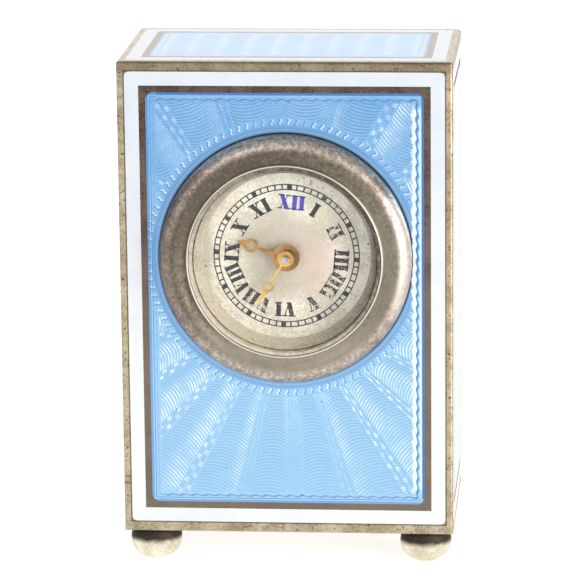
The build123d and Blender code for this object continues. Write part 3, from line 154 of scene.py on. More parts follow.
class Paint:
    """One material's shader and the fields that feed it."""

    def __init__(self, name):
        self.material = bpy.data.materials.new(name)
        self.material.use_nodes = True
        self.tree = self.material.node_tree
        self.shader = self.tree.nodes["Principled BSDF"]
        self.coordinates = self.tree.nodes.new("ShaderNodeTexCoord").outputs["Object"]

    def position(self, centre=(0, 0, 0)):
        """Three fields: the place on the piece from a centre, in millimetres."""
        split = self.tree.nodes.new("ShaderNodeSeparateXYZ")
        self.tree.links.new(self.coordinates, split.inputs[0])
        return [Field(self.tree, split.outputs[i]) * (1 / MM) - centre[i] for i in range(3)]

    def _stretched(self, stretch):
        if stretch == (1, 1, 1):
            return self.coordinates
        node = self.tree.nodes.new("ShaderNodeMapping")
        node.inputs["Scale"].default_value = stretch
        self.tree.links.new(self.coordinates, node.inputs["Vector"])
        return node.outputs["Vector"]

    def noise(self, size, detail=3.0, roughness=0.55, stretch=(1, 1, 1)):
        """Cloudy noise around 0.5, whose patches are about that many millimetres across."""
        node = self.tree.nodes.new("ShaderNodeTexNoise")
        node.inputs["Scale"].default_value = 1 / (size * MM)
        node.inputs["Detail"].default_value = detail
        node.inputs["Roughness"].default_value = roughness
        self.tree.links.new(self._stretched(stretch), node.inputs["Vector"])
        return Field(self.tree, node.outputs["Fac"])

    def scratches(self, size, level):
        """Small sharp marks in some patches. A lower level between 0 and 1 makes more of them."""
        marks = self.noise(size, 2.0, 0.6).step(level, level + 0.04)
        return marks * self.noise(2.4).step(0.46, 0.54)

    def cells(self, size):
        """Distance to the nearest of scattered points, in shares of their spacing."""
        node = self.tree.nodes.new("ShaderNodeTexVoronoi")
        node.inputs["Scale"].default_value = 1 / (size * MM)
        self.tree.links.new(self.coordinates, node.inputs["Vector"])
        return Field(self.tree, node.outputs["Distance"])

    def attribute(self, name):
        node = self.tree.nodes.new("ShaderNodeAttribute")
        node.attribute_name = name
        return Field(self.tree, node.outputs["Fac"])

    def blend(self, share, first, second):
        """A colour that goes from the first to the second as the share goes from 0 to 1."""
        node = self.tree.nodes.new("ShaderNodeMix")
        node.data_type = "RGBA"
        self.tree.links.new(share.socket, node.inputs["Factor"])
        for slot, colour in (("A", first), ("B", second)):
            entry = [s for s in node.inputs if s.name == slot and s.type == "RGBA"][0]
            if isinstance(colour, tuple):
                entry.default_value = colour
            else:
                self.tree.links.new(colour, entry)
        return [s for s in node.outputs if s.type == "RGBA"][0]

    def colour(self, colour):
        if isinstance(colour, tuple):
            self.shader.inputs["Base Color"].default_value = colour
        else:
            self.tree.links.new(colour, self.shader.inputs["Base Color"])

    def drive(self, name, field):
        self.tree.links.new(field.socket, self.shader.inputs[name])

    def fix(self, **values):
        for name, value in values.items():
            self.shader.inputs[name.replace("_", " ")].default_value = value

    def relief(self, field, depth):
        """Bumps as high as the depth in millimetres where the field goes from 0 to 1."""
        node = self.tree.nodes.new("ShaderNodeBump")
        node.inputs["Strength"].default_value = 1.0
        node.inputs["Distance"].default_value = depth * MM
        self.tree.links.new(field.socket, node.inputs["Height"])
        self.tree.links.new(node.outputs["Normal"], self.shader.inputs["Normal"])


# ---------------------------------------------------------------- metals


def silver(name, bright, dull, dark, roughness, pits, mottle=2.6):
    """Old silver: cloudy tarnish between two tones, a fine grain and dark pits.

    Where the roughness is None, the caller drives it.
    """
    paint = Paint(name)
    clouds = paint.noise(mottle, 5.0, 0.6)
    grain = paint.noise(0.22, 3.0, 0.6)
    spots = paint.noise(0.35, 4.0, 0.65).step(0.66 - 0.12 * pits, 0.74 - 0.08 * pits)
    tone = paint.blend((clouds * 0.6 + grain * 0.4).step(0.38, 0.62), dull, bright)
    tone = paint.blend(spots * min(1.0, 0.4 + pits), tone, dark)
    paint.colour(tone)
    if roughness is not None:
        paint.drive("Roughness", clouds * 0.16 + spots * 0.3 + grain * 0.1 + (roughness - 0.12))
    paint.relief(grain * 0.35 - spots * 0.65, 0.02 + 0.03 * pits)
    paint.fix(Metallic=1.0)
    paint.tone = tone
    return paint


CASE_DARK = linear(74, 56, 42)
case_silver = silver(
    "case_silver", linear(204, 190, 164), linear(160, 144, 118), CASE_DARK, 0.4, 0.7
)
case_x, case_depth, case_height = case_silver.position((0, FRONT_Y, 0))
on_front = case_depth.step(0.3, 0.1)
# Browner along the top of the front and in patches
patches = case_silver.noise(1.1, 4.0, 0.7, (0.35, 1, 1)).step(0.6, 0.72) * 0.55
brown = case_height.step(CASE_TOP - 1.4, CASE_TOP - 0.9) * on_front * 0.45
case_tone = case_silver.blend(brown.high(patches), case_silver.tone, linear(92, 74, 56))
# Two old nicks on the left edge
nicks = case_height.line(8.55, 0.16).high((case_height - case_x * 0.7).line(50.9, 0.16))
case_tone = case_silver.blend(nicks * case_x.step(-16.15, -16.2) * 0.85, case_tone, CASE_DARK)
# Dirt in the joint round the front's white enamel, and a painted highlight on the top
joint = (case_x.abs() - WHITE_HALF_WIDTH).high((case_height - CASE_MID_Z).abs() - WHITE_HALF_HEIGHT)
case_tone = case_silver.blend(joint.line(0.0, 0.3) * on_front * 0.8, case_tone, linear(84, 74, 44))
painted_case_top_highlight = case_height.step(CASE_TOP - 0.08, CASE_TOP - 0.02) * 0.4
case_tone = case_silver.blend(painted_case_top_highlight, case_tone, linear(240, 236, 226))
# A hairline where the front meets the walls
case_silver.colour(case_silver.blend(case_depth.line(0.42, 0.1) * 0.8, case_tone, CASE_DARK))

# The plaques are dark and paler towards the foot, and a painted highlight makes them palest on the
# top
plaque_silver = silver(
    "plaque_silver", linear(114, 98, 88), linear(78, 64, 56), linear(36, 28, 26), 0.45, 0.4
)
_, _, plaque_height = plaque_silver.position()
plaque_tone = plaque_silver.blend(
    plaque_height.step(46.0, 18.0) * 0.5, plaque_silver.tone, linear(150, 136, 122)
)
painted_plaque_top_highlight = plaque_height.step(CASE_TOP - 0.4, CASE_TOP - 0.2)
plaque_silver.colour(plaque_silver.blend(painted_plaque_top_highlight * 0.8, plaque_tone, linear(214, 208, 200)))

# The bezel's dome is pinkish and its hollow olive, with cloudy tarnish. Painted shade darkens
# the hollow up on the left and the slope below the glass up on the right, and painted
# highlights brighten the dome and the lip
bezel_silver = silver(
    "bezel_silver", linear(206, 192, 180), linear(140, 125, 117), linear(84, 68, 62), None, 0.6, 1.2
)
bezel_x, _, bezel_z = bezel_silver.position((0, 0, DIAL_Z))
bezel_reach = bezel_x.distance(bezel_z)
mottle = bezel_silver.noise(0.42, 4.0, 0.75)
cloud = bezel_silver.noise(1.5, 4.0, 0.65) * 0.8 + mottle * 2.4 - 1.6
up_left = (bezel_z - bezel_x) / bezel_reach * 0.36 + 0.5 + cloud
up_right = (bezel_z + bezel_x) / bezel_reach * 0.36 + 0.5 + cloud * 0.6

# Painted shade on the dome's left, and painted highlights at its top, its right and its foot
dome_tone = bezel_silver.blend(
    bezel_x.step(-8.0, -12.0) * 0.4, bezel_silver.tone, linear(118, 104, 98)
)
dome_painted_highlight = bezel_z.step(8.0, 12.5).high(bezel_x.step(9.8, 12.0))
dome_painted_highlight = dome_painted_highlight.high(bezel_z.step(-7.0, -11.0) * 0.5)
dome_tone = bezel_silver.blend(dome_painted_highlight * 0.75, dome_tone, linear(238, 226, 212))
dome_mottle = mottle.step(0.42, 0.58) * 0.6 * (1.0 - bezel_x.step(6.0, 11.0) * 0.6)
dome_tone = bezel_silver.blend(dome_mottle, dome_tone, linear(126, 108, 94))

# Painted shade up on the left of the hollow, broken by clouds of tarnish, and a painted highlight
# at its foot
hollow_tone = bezel_silver.blend(
    up_left.high(0.0).low(1.0), linear(147, 139, 124), linear(98, 90, 78)
)
hollow_tone = bezel_silver.blend(
    bezel_z.step(-5.0, -10.0) * 0.3, hollow_tone, linear(204, 194, 176)
)

# Painted shade up on the right of the slope below the glass
slope_tone = bezel_silver.blend(
    up_right.high(0.0).low(1.0), linear(226, 218, 200), linear(98, 92, 84)
)
by_dial = bezel_reach.step(9.3, SLOPE_FOOT) * 0.4
slope_tone = bezel_silver.blend(by_dial, slope_tone, linear(222, 214, 196))
slope_tone = bezel_silver.blend(
    bezel_silver.scratches(0.32, 0.66) * 0.8, slope_tone, linear(64, 60, 54)
)

inner_tone = bezel_silver.blend(bezel_reach.step(LIP - 0.05, LIP - 0.2), hollow_tone, slope_tone)
# A painted highlight along the lip
lip_painted_highlight = bezel_reach.line(LIP + 0.02, 0.34) * 0.8
inner_tone = bezel_silver.blend(lip_painted_highlight, inner_tone, linear(238, 232, 214))
bezel_silver.colour(bezel_silver.blend(bezel_reach.step(12.0, 11.3), dome_tone, inner_tone))
# The slope under the glass is dull
on_slope = bezel_reach.step(LIP - 0.15, LIP - 0.3)
bezel_silver.drive(
    "Roughness", on_slope * 0.35 + bezel_silver.noise(0.5, 4.0, 0.7) * 0.3 + 0.32
)

# The feet are in shade close under the case
foot_silver = silver(
    "foot_silver",
    linear(236, 230, 212),
    linear(206, 196, 170),
    linear(110, 96, 78),
    None,
    0.25,
    1.6,
)
_, _, foot_height = foot_silver.position()
under_case = (foot_height + foot_silver.noise(0.9) * 0.5).step(2.0, 2.7)
foot_silver.colour(foot_silver.blend(under_case * 0.95, foot_silver.tone, linear(46, 41, 34)))
foot_silver.drive("Roughness", under_case * 0.35 + foot_silver.noise(0.5) * 0.12 + 0.2)


def plain_metal(name, tone, shade, roughness, grain_size=0.25, stretch=(1, 1, 1), wide=False):
    """A finished metal with a fine grain. Its tone varies a little, or in wide soft clouds."""
    paint = Paint(name)
    if wide:
        clouds = paint.noise(9.0, 3.0, 0.5).step(0.3, 0.7) * 0.7 + paint.noise(0.4, 3.0) * 0.3
    else:
        clouds = paint.noise(1.8, 4.0, 0.55).step(0.35, 0.65)
    paint.colour(paint.blend(clouds, shade, tone))
    grain = paint.noise(grain_size, 3.0, 0.6, stretch)
    paint.drive("Roughness", grain * 0.14 + (roughness - 0.07))
    paint.relief(grain, 0.006)
    paint.fix(Metallic=1.0)
    return paint


gilt = plain_metal("gilt", linear(220, 186, 108), linear(180, 140, 72), 0.28)
copper_gilt = plain_metal("copper_gilt", linear(188, 144, 88), linear(128, 88, 48), 0.34)
movement_brass = plain_metal(
    "movement_brass", linear(230, 203, 138), linear(221, 193, 126), 0.3, 0.12
)
door_silver = plain_metal(
    "door_silver", linear(214, 206, 191), linear(192, 184, 167), 0.27, 0.14, (1, 1, 12), wide=True
)
steel = plain_metal("steel", linear(196, 200, 206), linear(160, 164, 172), 0.22, 0.1, (1, 1, 6))
blued_steel = plain_metal("blued_steel", linear(54, 76, 150), linear(30, 42, 104), 0.2)

ruby = Paint("ruby")
ruby.colour(ruby.blend(ruby.noise(0.3), linear(150, 14, 44), linear(196, 40, 74)))
ruby.fix(Roughness=0.08, Coat_Weight=0.6)

# ---------------------------------------------------------------- enamels

# Painted shade: darker and bluer towards the top of the upright faces, though not on the top, and
# in random patches
white_enamel = Paint("white_enamel")
_, _, white_height = white_enamel.position()
painted_upper_shade = white_height.step(14.0, 50.0) * white_height.step(CASE_TOP - 0.1, CASE_TOP - 0.2)
shade_and_patches = painted_upper_shade * 0.75 + white_enamel.noise(3.0, 3.0).step(0.35, 0.7) * 0.25
white_enamel.colour(white_enamel.blend(shade_and_patches, linear(222, 224, 223), linear(198, 205, 215)))
white_enamel.fix(Roughness=0.12, Coat_Weight=0.5, Coat_Roughness=0.04)
white_enamel.relief(white_enamel.noise(1.2, 2.0), 0.012)

SKY_RIM = linear(58, 116, 182)
SKY_DEEP = linear(88, 142, 198)
SKY = linear(108, 166, 218)
SKY_PALE = linear(166, 210, 240)
# The white of the painted glints and of a fine line inside the rim
GLINT = linear(242, 253, 252)
# The turned pattern repeats in lobes, each an arc and then a narrow ripple. On the front they
# are rays round the panel's middle, turned by some degrees, and elsewhere straight columns.
PITCH = 0.35
LOBES = 24
LOBE_TURN = 4.3
LOBE_ARC = 0.72
ARC_HEIGHT = 0.5
COLUMN_WIDTH = 2.9
# The border: its rim's width, its waved line's way in from the edge, and the length of a wave
RIM = 0.25
WAVED_LINE = 0.72
WAVE_LENGTH = 1.22
# The ring of short cuts round the bezel
RING_CUTS = 103
RING_INNER, RING_OUTER = 13.74, 14.42


def front_shine(side, rise, reach, lobe, bow):
    """The painted glints on the front's cuts, and the short glinting marks between its arcs."""
    # A cut is painted with a glint where it runs steeply, as if the light came from the side
    lean = bow.low(1.0) * (4 * ARC_HEIGHT / LOBE_ARC)
    lean = lean * (reach.math("POWER", -1.0) * (LOBES / (2 * pi)))
    steep = (side + lean * rise).abs() / reach / (lean * lean + 1.0).root()
    # The cuts come in fours, and between the arcs the painted glints lie in two rows of short marks
    in_ripple = lobe.above(LOBE_ARC)
    across_ripple = (lobe - LOBE_ARC) / (1 - LOBE_ARC)
    four = (reach / (4 * PITCH) + across_ripple.above(0.42) * 0.5).fract()
    in_four = (four - 0.5).abs().step(0.24, 0.14)
    rows = (across_ripple - 0.22).abs().low((across_ripple - 0.62).abs()) - 0.065
    marks = in_four * rows.abs().step(0.06, 0.03) * in_ripple
    marks = marks * (side.abs() / reach).step(0.1, 0.6)
    shine = marks * 1.2 + steep.step(0.42, 0.86) * (in_four * 0.3 + 0.85) * (1.0 - in_ripple)
    # Up on the left and down on the right the painted glints are fainter, as if the light only
    # grazed the cuts
    shine = shine * (1.0 - side.step(7.0, -5.0) * rise.step(3.0, 11.0) * 0.6)
    return shine * (1.0 - side.step(-2.0, 5.0) * rise.step(0.0, -6.0) * 0.3), marks


def bezel_ring(paint, side, height, radius, tone, glint):
    """Lays the ring of short wavy cuts round the bezel. Gives back the tone and the glint."""
    tone = paint.blend(radius.step(13.9, 13.6) * 0.55, tone, SKY_DEEP)
    bend = ((radius - (RING_INNER + RING_OUTER) / 2) * (pi / 0.34)).sin() * 0.15
    cut = (side.turns(height) * RING_CUTS + bend - radius * 0.25).fract()
    ring = radius.step(RING_INNER, RING_INNER + 0.06) * radius.step(RING_OUTER, RING_OUTER - 0.06)
    # A painted glint on one side of each cut, in patches, and painted shade on the other
    lit = paint.noise(2.2, 2.0).step(0.38, 0.62) * 0.6 + 0.15
    white_cut = (cut - 0.42).abs().step(0.13, 0.05) * ring * lit
    dark_cut = (cut - 0.64).abs().step(0.13, 0.04) * ring
    tone = paint.blend(dark_cut * 0.6, tone, SKY_RIM)
    tone = paint.blend(radius.line(RING_INNER - 0.32, 0.1) * 0.4, tone, SKY_RIM)
    return tone, glint.high(white_cut).high(radius.line(RING_INNER - 0.44, 0.1) * 0.2)


def engine_turned(name, across, up, half_width, half_height, is_front=False):
    """Blue enamel over turned metal. across and up number the panel's two directions."""
    paint = Paint(name)
    here = paint.position((0, CASE_MID_Y, CASE_MID_Z))
    side, rise = here[across], here[up]
    # How far the place lies inside the panel's edge
    inside = (half_width - side.abs()).low(half_height - rise.abs())

    if is_front:
        reach = side.distance(rise)
        lobe = (side.turns(rise) * LOBES - LOBE_TURN * LOBES / 360 + 1.0).fract()
    else:
        reach = rise
        lobe = (side / COLUMN_WIDTH + 0.36).fract()
    bow = lobe / LOBE_ARC * 2 - 1
    bulge = (bow * bow - 1.0) * ARC_HEIGHT
    sway = (lobe - LOBE_ARC) * (5 * pi / (1 - LOBE_ARC))
    in_ripple = lobe.above(LOBE_ARC)
    shift = bulge * (1.0 - in_ripple) + sway.sin() * in_ripple * 0.16
    wave = ((reach - shift + paint.noise(0.8, 2.0) * 0.12) / PITCH).fract()
    groove = (wave * 2 - 1).abs()

    field = inside.step(0.95, 1.05)
    # The side of each cut that takes the painted glint
    bright_side = (wave - 0.32).abs().step(0.28, 0.1)
    if is_front:
        height = rise - (DIAL_Z - CASE_MID_Z)
        radius = side.distance(height)
        field = field * radius.step(RING_OUTER - 0.07, RING_OUTER + 0.13)
        shine, marks = front_shine(side, rise, reach, lobe, bow)
        bright_side = bright_side.high(marks)
    else:
        # Painted glints in the ripples and at the ends of the arcs
        shine = in_ripple * 0.35 + bow.abs().step(0.5, 1.0) * 0.25
    # Painted glints on the bright side of the cuts, in patches
    patchy = paint.noise(1.6, 3.0).step(0.36, 0.56)
    glint = bright_side * field * shine * (patchy * 0.6 + 0.4)
    ridge = (groove - 0.5) * field

    grain = paint.noise(0.3, 3.0, 0.7)
    pale = paint.noise(5.0, 3.0).step(0.3, 0.75) * 0.24 + grain * 0.6 - 0.2
    tone = paint.blend(pale.high(0.0), SKY, SKY_PALE)
    if is_front:
        # The panel is paler towards its foot: a painted reflection of the pale floor
        tone = paint.blend(rise.step(17.0, -14.0) * 0.72, tone, SKY_PALE)
    # Deeper blue in the grooves and paler on the ridges, more so where the painted glints are
    # strong
    show = paint.noise(2.0, 3.0).step(0.35, 0.65) * 0.5 + 0.2
    tone = paint.blend((ridge * -0.7).high(0.0) * (shine * 0.8 + show), tone, SKY_DEEP)
    tone = paint.blend((ridge * 0.9).high(0.0) * (shine * 0.8 + 0.15), tone, SKY_PALE)

    wavy = inside - WAVED_LINE - ((side + rise) * (2 * pi / WAVE_LENGTH)).sin() * 0.07
    rim = inside.step(RIM + 0.05, RIM - 0.05)
    wave_ink = 0.5
    if is_front:
        tone, glint = bezel_ring(paint, side, height, radius, tone, glint)
        # Along the panel's right edge the border catches the light
        right = side.step(half_width - 1.5, half_width - 1.4)
        fades = (rise.abs() - half_height).step(-1.0, -1.9)
        band = wavy.step(0.04, 0.12) * (wavy + paint.noise(0.6) * 0.5).step(0.85, 0.65)
        bright = band * (paint.noise(0.9).step(0.25, 0.5) * 0.35 + 0.6)
        glint = glint.high(right * fades * bright.high(wavy.step(-0.18, -0.24) * 0.7))
        left = side.step(1.2 - half_width, 1.0 - half_width)
        wave_ink = right * 0.35 + 0.6 - left * 0.35
        # The rim is paler on the left and along the foot, with a deeper line inside it
        pale_rim = left.high(rise.step(0.6 - half_height, 0.5 - half_height))
        inner_line = inside.line(RIM + 0.17, 0.14) * pale_rim * 0.8
        rim = (rim * (1.0 - pale_rim * 0.45)).high(inner_line)
        # Shadow in the joint with the bezel
        tone = paint.blend(
            radius.step(DOME_EDGE + 0.25, DOME_EDGE + 0.15) * 0.85, tone, linear(30, 30, 34)
        )
    # The painted glints, in white
    tone = paint.blend(glint * 0.88, tone, GLINT)
    tone = paint.blend(rim.high(wavy.line(0.0, 0.24) * wave_ink), tone, SKY_RIM)
    tone = paint.blend(inside.line(RIM + 0.11, 0.08) * 0.2, tone, GLINT)
    specks = paint.cells(2.6).step(0.045, 0.03)
    paint.colour(paint.blend(specks * 0.7, tone, linear(40, 60, 90)))
    paint.relief(groove * field * 0.8 + 0.2 - wavy.line(0.0, 0.2) * 0.4, 0.025)
    paint.fix(Metallic=0.85, Roughness=0.34, Coat_Weight=0.8, Coat_Roughness=0.04)
    return paint


front_enamel = engine_turned(
    "front_blue_enamel", 0, 2, PANEL_HALF_WIDTH, PANEL_HALF_HEIGHT, is_front=True
)
top_enamel = engine_turned("top_blue_enamel", 0, 1, PANEL_HALF_WIDTH, TOP_HALF_DEPTH)
side_enamel = engine_turned("side_blue_enamel", 1, 2, SIDE_HALF_DEPTH, PANEL_HALF_HEIGHT)

# ---------------------------------------------------------------- dial and glass


def stain(x, z, reach):
    """A soft round stain that fades from the place where x and z are 0 to its reach."""
    return (1.0 - x.distance(z) / reach).high(0.0)


def dial_tones(paint):
    """The silvered dial's stained colour, also used where its ink has worn off."""
    x, _, z = paint.position((0, 0, DIAL_Z))
    reach = x.distance(z)
    clouds = paint.noise(3.6, 4.0, 0.6) * 0.5 + paint.noise(0.28, 4.0, 0.75) * 0.5
    tone = paint.blend(clouds.step(0.42, 0.58), linear(198, 191, 173), linear(228, 223, 208))
    # Duller in the middle and at the left edge
    dull = reach.step(5.5, 3.0).high(x.step(-7.2, -8.2)) * 0.65
    tone = paint.blend(dull, tone, linear(170, 162, 144))
    # A pink stain right of the middle, and a small green one above it
    tone = paint.blend(stain(x - 3.2, z + 0.8, 4.2) * 0.55, tone, linear(222, 190, 176))
    tone = paint.blend(stain(x - 3.6, z - 4.4, 1.5) * 0.6, tone, linear(204, 208, 162))
    # Scratches at the margin, outside the minute track
    scratched = paint.scratches(0.34, 0.65) * reach.step(7.65, 7.8) * 0.85
    tone = paint.blend(scratched, tone, linear(58, 56, 54))
    specks = paint.noise(0.16, 2.0, 0.7).step(0.66, 0.8)
    return paint.blend(specks * 0.5, tone, linear(150, 138, 116))


dial_silver = Paint("dial_silver")
dial_silver.colour(dial_tones(dial_silver))
dial_silver.drive("Roughness", dial_silver.noise(0.5) * 0.2 + 0.42)
dial_silver.relief(dial_silver.noise(0.18, 3.0), 0.006)
dial_silver.fix(Metallic=0.1, Specular_IOR_Level=0.3)


def ink(name, tone):
    """Printing whose wear, from 0 to 1, is held by each letter."""
    paint = Paint(name)
    grain = paint.noise(0.16, 3.0, 0.7) * 0.6 + paint.noise(0.5, 2.0, 0.5) * 0.4
    worn = (grain + paint.attribute("wear") * 0.32).step(0.63, 0.68)
    paint.colour(paint.blend(worn, tone, dial_tones(paint)))
    paint.fix(Roughness=0.5)
    return paint


black_ink = ink("black_ink", linear(36, 36, 42))
violet_ink = ink("violet_ink", linear(70, 62, 168))

# The glass bends no light, and only its faint surface shine shows
crystal = Paint("crystal")
crystal.colour((1.0, 1.0, 1.0, 1.0))
crystal.fix(Roughness=0.0, IOR=1.0, Transmission_Weight=1.0, Coat_Weight=0.3, Coat_Roughness=0.12)

# ---------------------------------------------------------------- shapes


def new_piece(name, mesh_maker, paint, body):
    mesh = bpy.data.meshes.new(name)
    made = bmesh.new()
    mesh_maker(made)
    made.to_mesh(mesh)
    made.free()
    piece = bpy.data.objects.new(name, mesh)
    bpy.context.scene.collection.objects.link(piece)
    piece.data.materials.append(paint.material)
    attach(piece, body)
    return piece


def lathe(name, runs, to_place, paint, body, turns=192):
    """A turned solid. A run is a list of (radius, height) points, and runs meet in sharp rings."""
    outline = [(point, number == 0) for run in runs for number, point in enumerate(run[:-1])]
    angles = [2 * pi * k / turns for k in range(turns)]

    def make(made):
        rings = []
        for (radius, height), sharp in outline:
            if radius == 0:
                ring = [made.verts.new(to_place(0, 0, height))] * turns
            else:
                ring = [
                    made.verts.new(to_place(radius * cos(angle), radius * sin(angle), height))
                    for angle in angles
                ]
            rings.append((ring, sharp))
        for number, (ring, _) in enumerate(rings):
            following = rings[(number + 1) % len(rings)][0]
            for k in range(turns):
                corners = [ring[k], ring[(k + 1) % turns], following[(k + 1) % turns], following[k]]
                single = list(dict.fromkeys(corners))
                if len(single) > 2:
                    made.faces.new(single).smooth = True
        bmesh.ops.recalc_face_normals(made, faces=made.faces)
        for ring, sharp in rings:
            if sharp and ring[0] != ring[1]:
                for k in range(turns):
                    made.edges.get((ring[k], ring[(k + 1) % turns])).smooth = False

    return new_piece(name, make, paint, body)


def arc(centre, across, high, start, end, steps):
    """Points on part of an ellipse, as (radius, height), with angles in degrees."""
    return [
        (
            centre[0] + across * cos(radians(start + (end - start) * k / steps)),
            centre[1] + high * sin(radians(start + (end - start) * k / steps)),
        )
        for k in range(steps + 1)
    ]


def facing(x, z, depth):
    """A point on the front, from the dial's centre."""
    return place(x, FRONT_Y + depth, DIAL_Z + z)


# ---------------------------------------------------------------- bezel

# Heights stand in front of the case face. The dome, its hollow and the lip follow the solid's.
CREST = 11.45
NECK = 10.9
GLASS_SEAT = 9.78
DOME_BACK, NECK_BACK = -0.3, -1.07
LIP_HEIGHT, SEAT_HEIGHT = 1.9, 0.95
bezel_runs = [
    [(NECK, DOME_BACK), (DOME_EDGE, DOME_BACK)],
    [(DOME_EDGE, DOME_BACK), (DOME_EDGE, 0.5)],
    arc((CREST, 0.5), DOME_EDGE - CREST, 1.5, 0, 90, 14)
    + [(CREST - 1.36 * k / 12, 1.835 + 0.165 * cos(pi * k / 12)) for k in range(1, 13)],
    [(10.09, 1.67), (10.02, 1.72), (LIP + 0.1, LIP_HEIGHT)],
    arc((LIP, LIP_HEIGHT), 0.1, 0.09, 0, 180, 8),
    [(LIP - 0.1, LIP_HEIGHT), (GLASS_SEAT, SEAT_HEIGHT)],
    [(GLASS_SEAT, SEAT_HEIGHT), (SLOPE_TOP, SEAT_HEIGHT)],
    [(SLOPE_TOP, SEAT_HEIGHT), (SLOPE_FOOT, NECK_BACK)],
    [(SLOPE_FOOT, NECK_BACK), (NECK, NECK_BACK)],
    [(NECK, NECK_BACK), (NECK, DOME_BACK)],
]
bezel = lathe(
    "bezel_turned",
    bezel_runs,
    lambda x, z, height: facing(x, z, -height),
    bezel_silver,
    "case",
    256,
)
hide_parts("bezel")

# ---------------------------------------------------------------- feet

# A foot: flat sole, bun with its widest part at the belly, shoulder, and stud through the case
SOLE, BELLY, SHOULDER, STUD = 0.8, 2.66, 1.9, 0.6
BELLY_HEIGHT, SHOULDER_HEIGHT, STUD_HEIGHT = 2.0, 3.5, 6.6
FOOT_X, FOOT_INSET = 14.05, 2.95
foot_runs = [
    [(0, 0), (SOLE, 0)],
    arc((SOLE, BELLY_HEIGHT), BELLY - SOLE, -BELLY_HEIGHT, 90, 0, 14)
    + arc(
        (SHOULDER, BELLY_HEIGHT), BELLY - SHOULDER, SHOULDER_HEIGHT - BELLY_HEIGHT, 0, 90, 10
    )[1:],
    [(SHOULDER, SHOULDER_HEIGHT), (STUD, SHOULDER_HEIGHT)],
    [(STUD, SHOULDER_HEIGHT), (STUD, STUD_HEIGHT)],
    [(STUD, STUD_HEIGHT), (0, STUD_HEIGHT)],
    [(0, STUD_HEIGHT), (0, 0)],
]
for end, y in (("front", FRONT_Y + FOOT_INSET), ("rear", REAR_Y - FOOT_INSET)):
    for side, x in (("left", -FOOT_X), ("right", FOOT_X)):
        foot = lathe(
            f"{end}_{side}_foot_turned",
            foot_runs,
            lambda px, py, height, x=x, y=y: place(x + px, y + py, height),
            foot_silver,
            "case",
            96,
        )
        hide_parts(f"{end}_{side}_foot")

# ---------------------------------------------------------------- dial printing

# The dial sits a little turned, in degrees, and the ink lies just in front of it
DIAL_TURN = 3.0
DIAL_DEPTH = 1.1
PRINT_DEPTH = DIAL_DEPTH - 0.008
# Radius of the letters' feet, their height, and the widths of their strokes and serifs
LETTER_FOOT = 4.85
LETTER_HEIGHT = 1.5
BROAD, FINE, SERIF = 0.47, 0.12, 0.14
# The two rings of the minute track, and the wear of their ink
TRACK_RINGS = (6.84, 6.96), (7.37, 7.49)
TRACK_WEAR = 0.1


def stroke(top, bottom, width):
    """One slanting stroke of a letter, from its top to its foot, cut off level at both ends."""
    return [
        (bottom - width / 2, 0.0),
        (bottom + width / 2, 0.0),
        (top + width / 2, LETTER_HEIGHT),
        (top - width / 2, LETTER_HEIGHT),
    ]


def serif(middle, width, at_top):
    """A flat bar across the end of a stroke."""
    low = LETTER_HEIGHT - SERIF if at_top else 0.0
    return [
        (middle - width / 2, low),
        (middle + width / 2, low),
        (middle + width / 2, low + SERIF),
        (middle - width / 2, low + SERIF),
    ]


# Each letter: its width and its strokes, from its left edge
LETTERS = {
    "I": (0.76, [stroke(0.38, 0.38, BROAD), serif(0.38, 0.7, True), serif(0.38, 0.7, False)]),
    "V": (
        1.4,
        [
            stroke(0.36, 0.74, BROAD),
            stroke(1.14, 0.72, FINE),
            serif(0.38, 0.74, True),
            serif(1.12, 0.5, True),
        ],
    ),
    "X": (
        1.42,
        [
            stroke(0.38, 1.04, BROAD),
            stroke(1.1, 0.3, FINE),
            serif(0.38, 0.7, True),
            serif(1.1, 0.5, True),
            serif(1.04, 0.72, False),
            serif(0.3, 0.5, False),
        ],
    ),
}
HOURS = ["I", "II", "III", "IIII", "V", "VI", "VII", "VIII", "IX", "X", "XI", "XII"]
# Each hour's wear, its small turn off its place in degrees, and its squeeze along the circle
WEAR = [0.1, 0.42, 0.26, 0.38, 0.4, 0.2, 0.32, 0.16, 0.14, 0.12, 0.1, 0.0]
LEAN = [-1.4, 0.0, 1.5, 0.0, -0.6, -1.2, 0.0, 2.0, 1.4, -1.0, -1.5, 2.7]
SQUEEZE = [1.0, 1.0, 1.0, 0.98, 1.0, 1.0, 1.0, 0.87, 1.0, 1.05, 1.0, 0.97]


def dial_point(clock_angle, across, out):
    """A printed point: along the circle and outwards, at a clock angle in degrees."""
    turn = radians(clock_angle + DIAL_TURN)
    return facing(
        out * sin(turn) + across * cos(turn), out * cos(turn) - across * sin(turn), PRINT_DEPTH
    )


def print_hours(hours):
    """A mesh maker for the numbers of some hours."""

    def make(made):
        wear = made.verts.layers.float.new("wear")
        for hour in hours:
            word, squeeze = HOURS[hour - 1], SQUEEZE[hour - 1]
            angle = hour * 30 + LEAN[hour - 1]
            left = -sum(LETTERS[letter][0] for letter in word) / 2
            for letter in word:
                width, strokes = LETTERS[letter]
                for outline in strokes:
                    corners = [
                        made.verts.new(dial_point(angle, (left + x) * squeeze, LETTER_FOOT + y))
                        for x, y in outline
                    ]
                    for corner in corners:
                        corner[wear] = WEAR[hour - 1]
                    made.faces.new(corners)
                left += width

    return make


def arc_patch(made, inner, outer, start, end, steps):
    """A printed patch between two radii and two clock angles."""
    wear = made.verts.layers.float.get("wear") or made.verts.layers.float.new("wear")
    rows = [
        [
            made.verts.new(dial_point(start + (end - start) * k / steps, 0, radius))
            for radius in (inner, outer)
        ]
        for k in range(steps + 1)
    ]
    for row in rows:
        for corner in row:
            corner[wear] = TRACK_WEAR
    for first, second in zip(rows, rows[1:]):
        made.faces.new([first[0], first[1], second[1], second[0]])


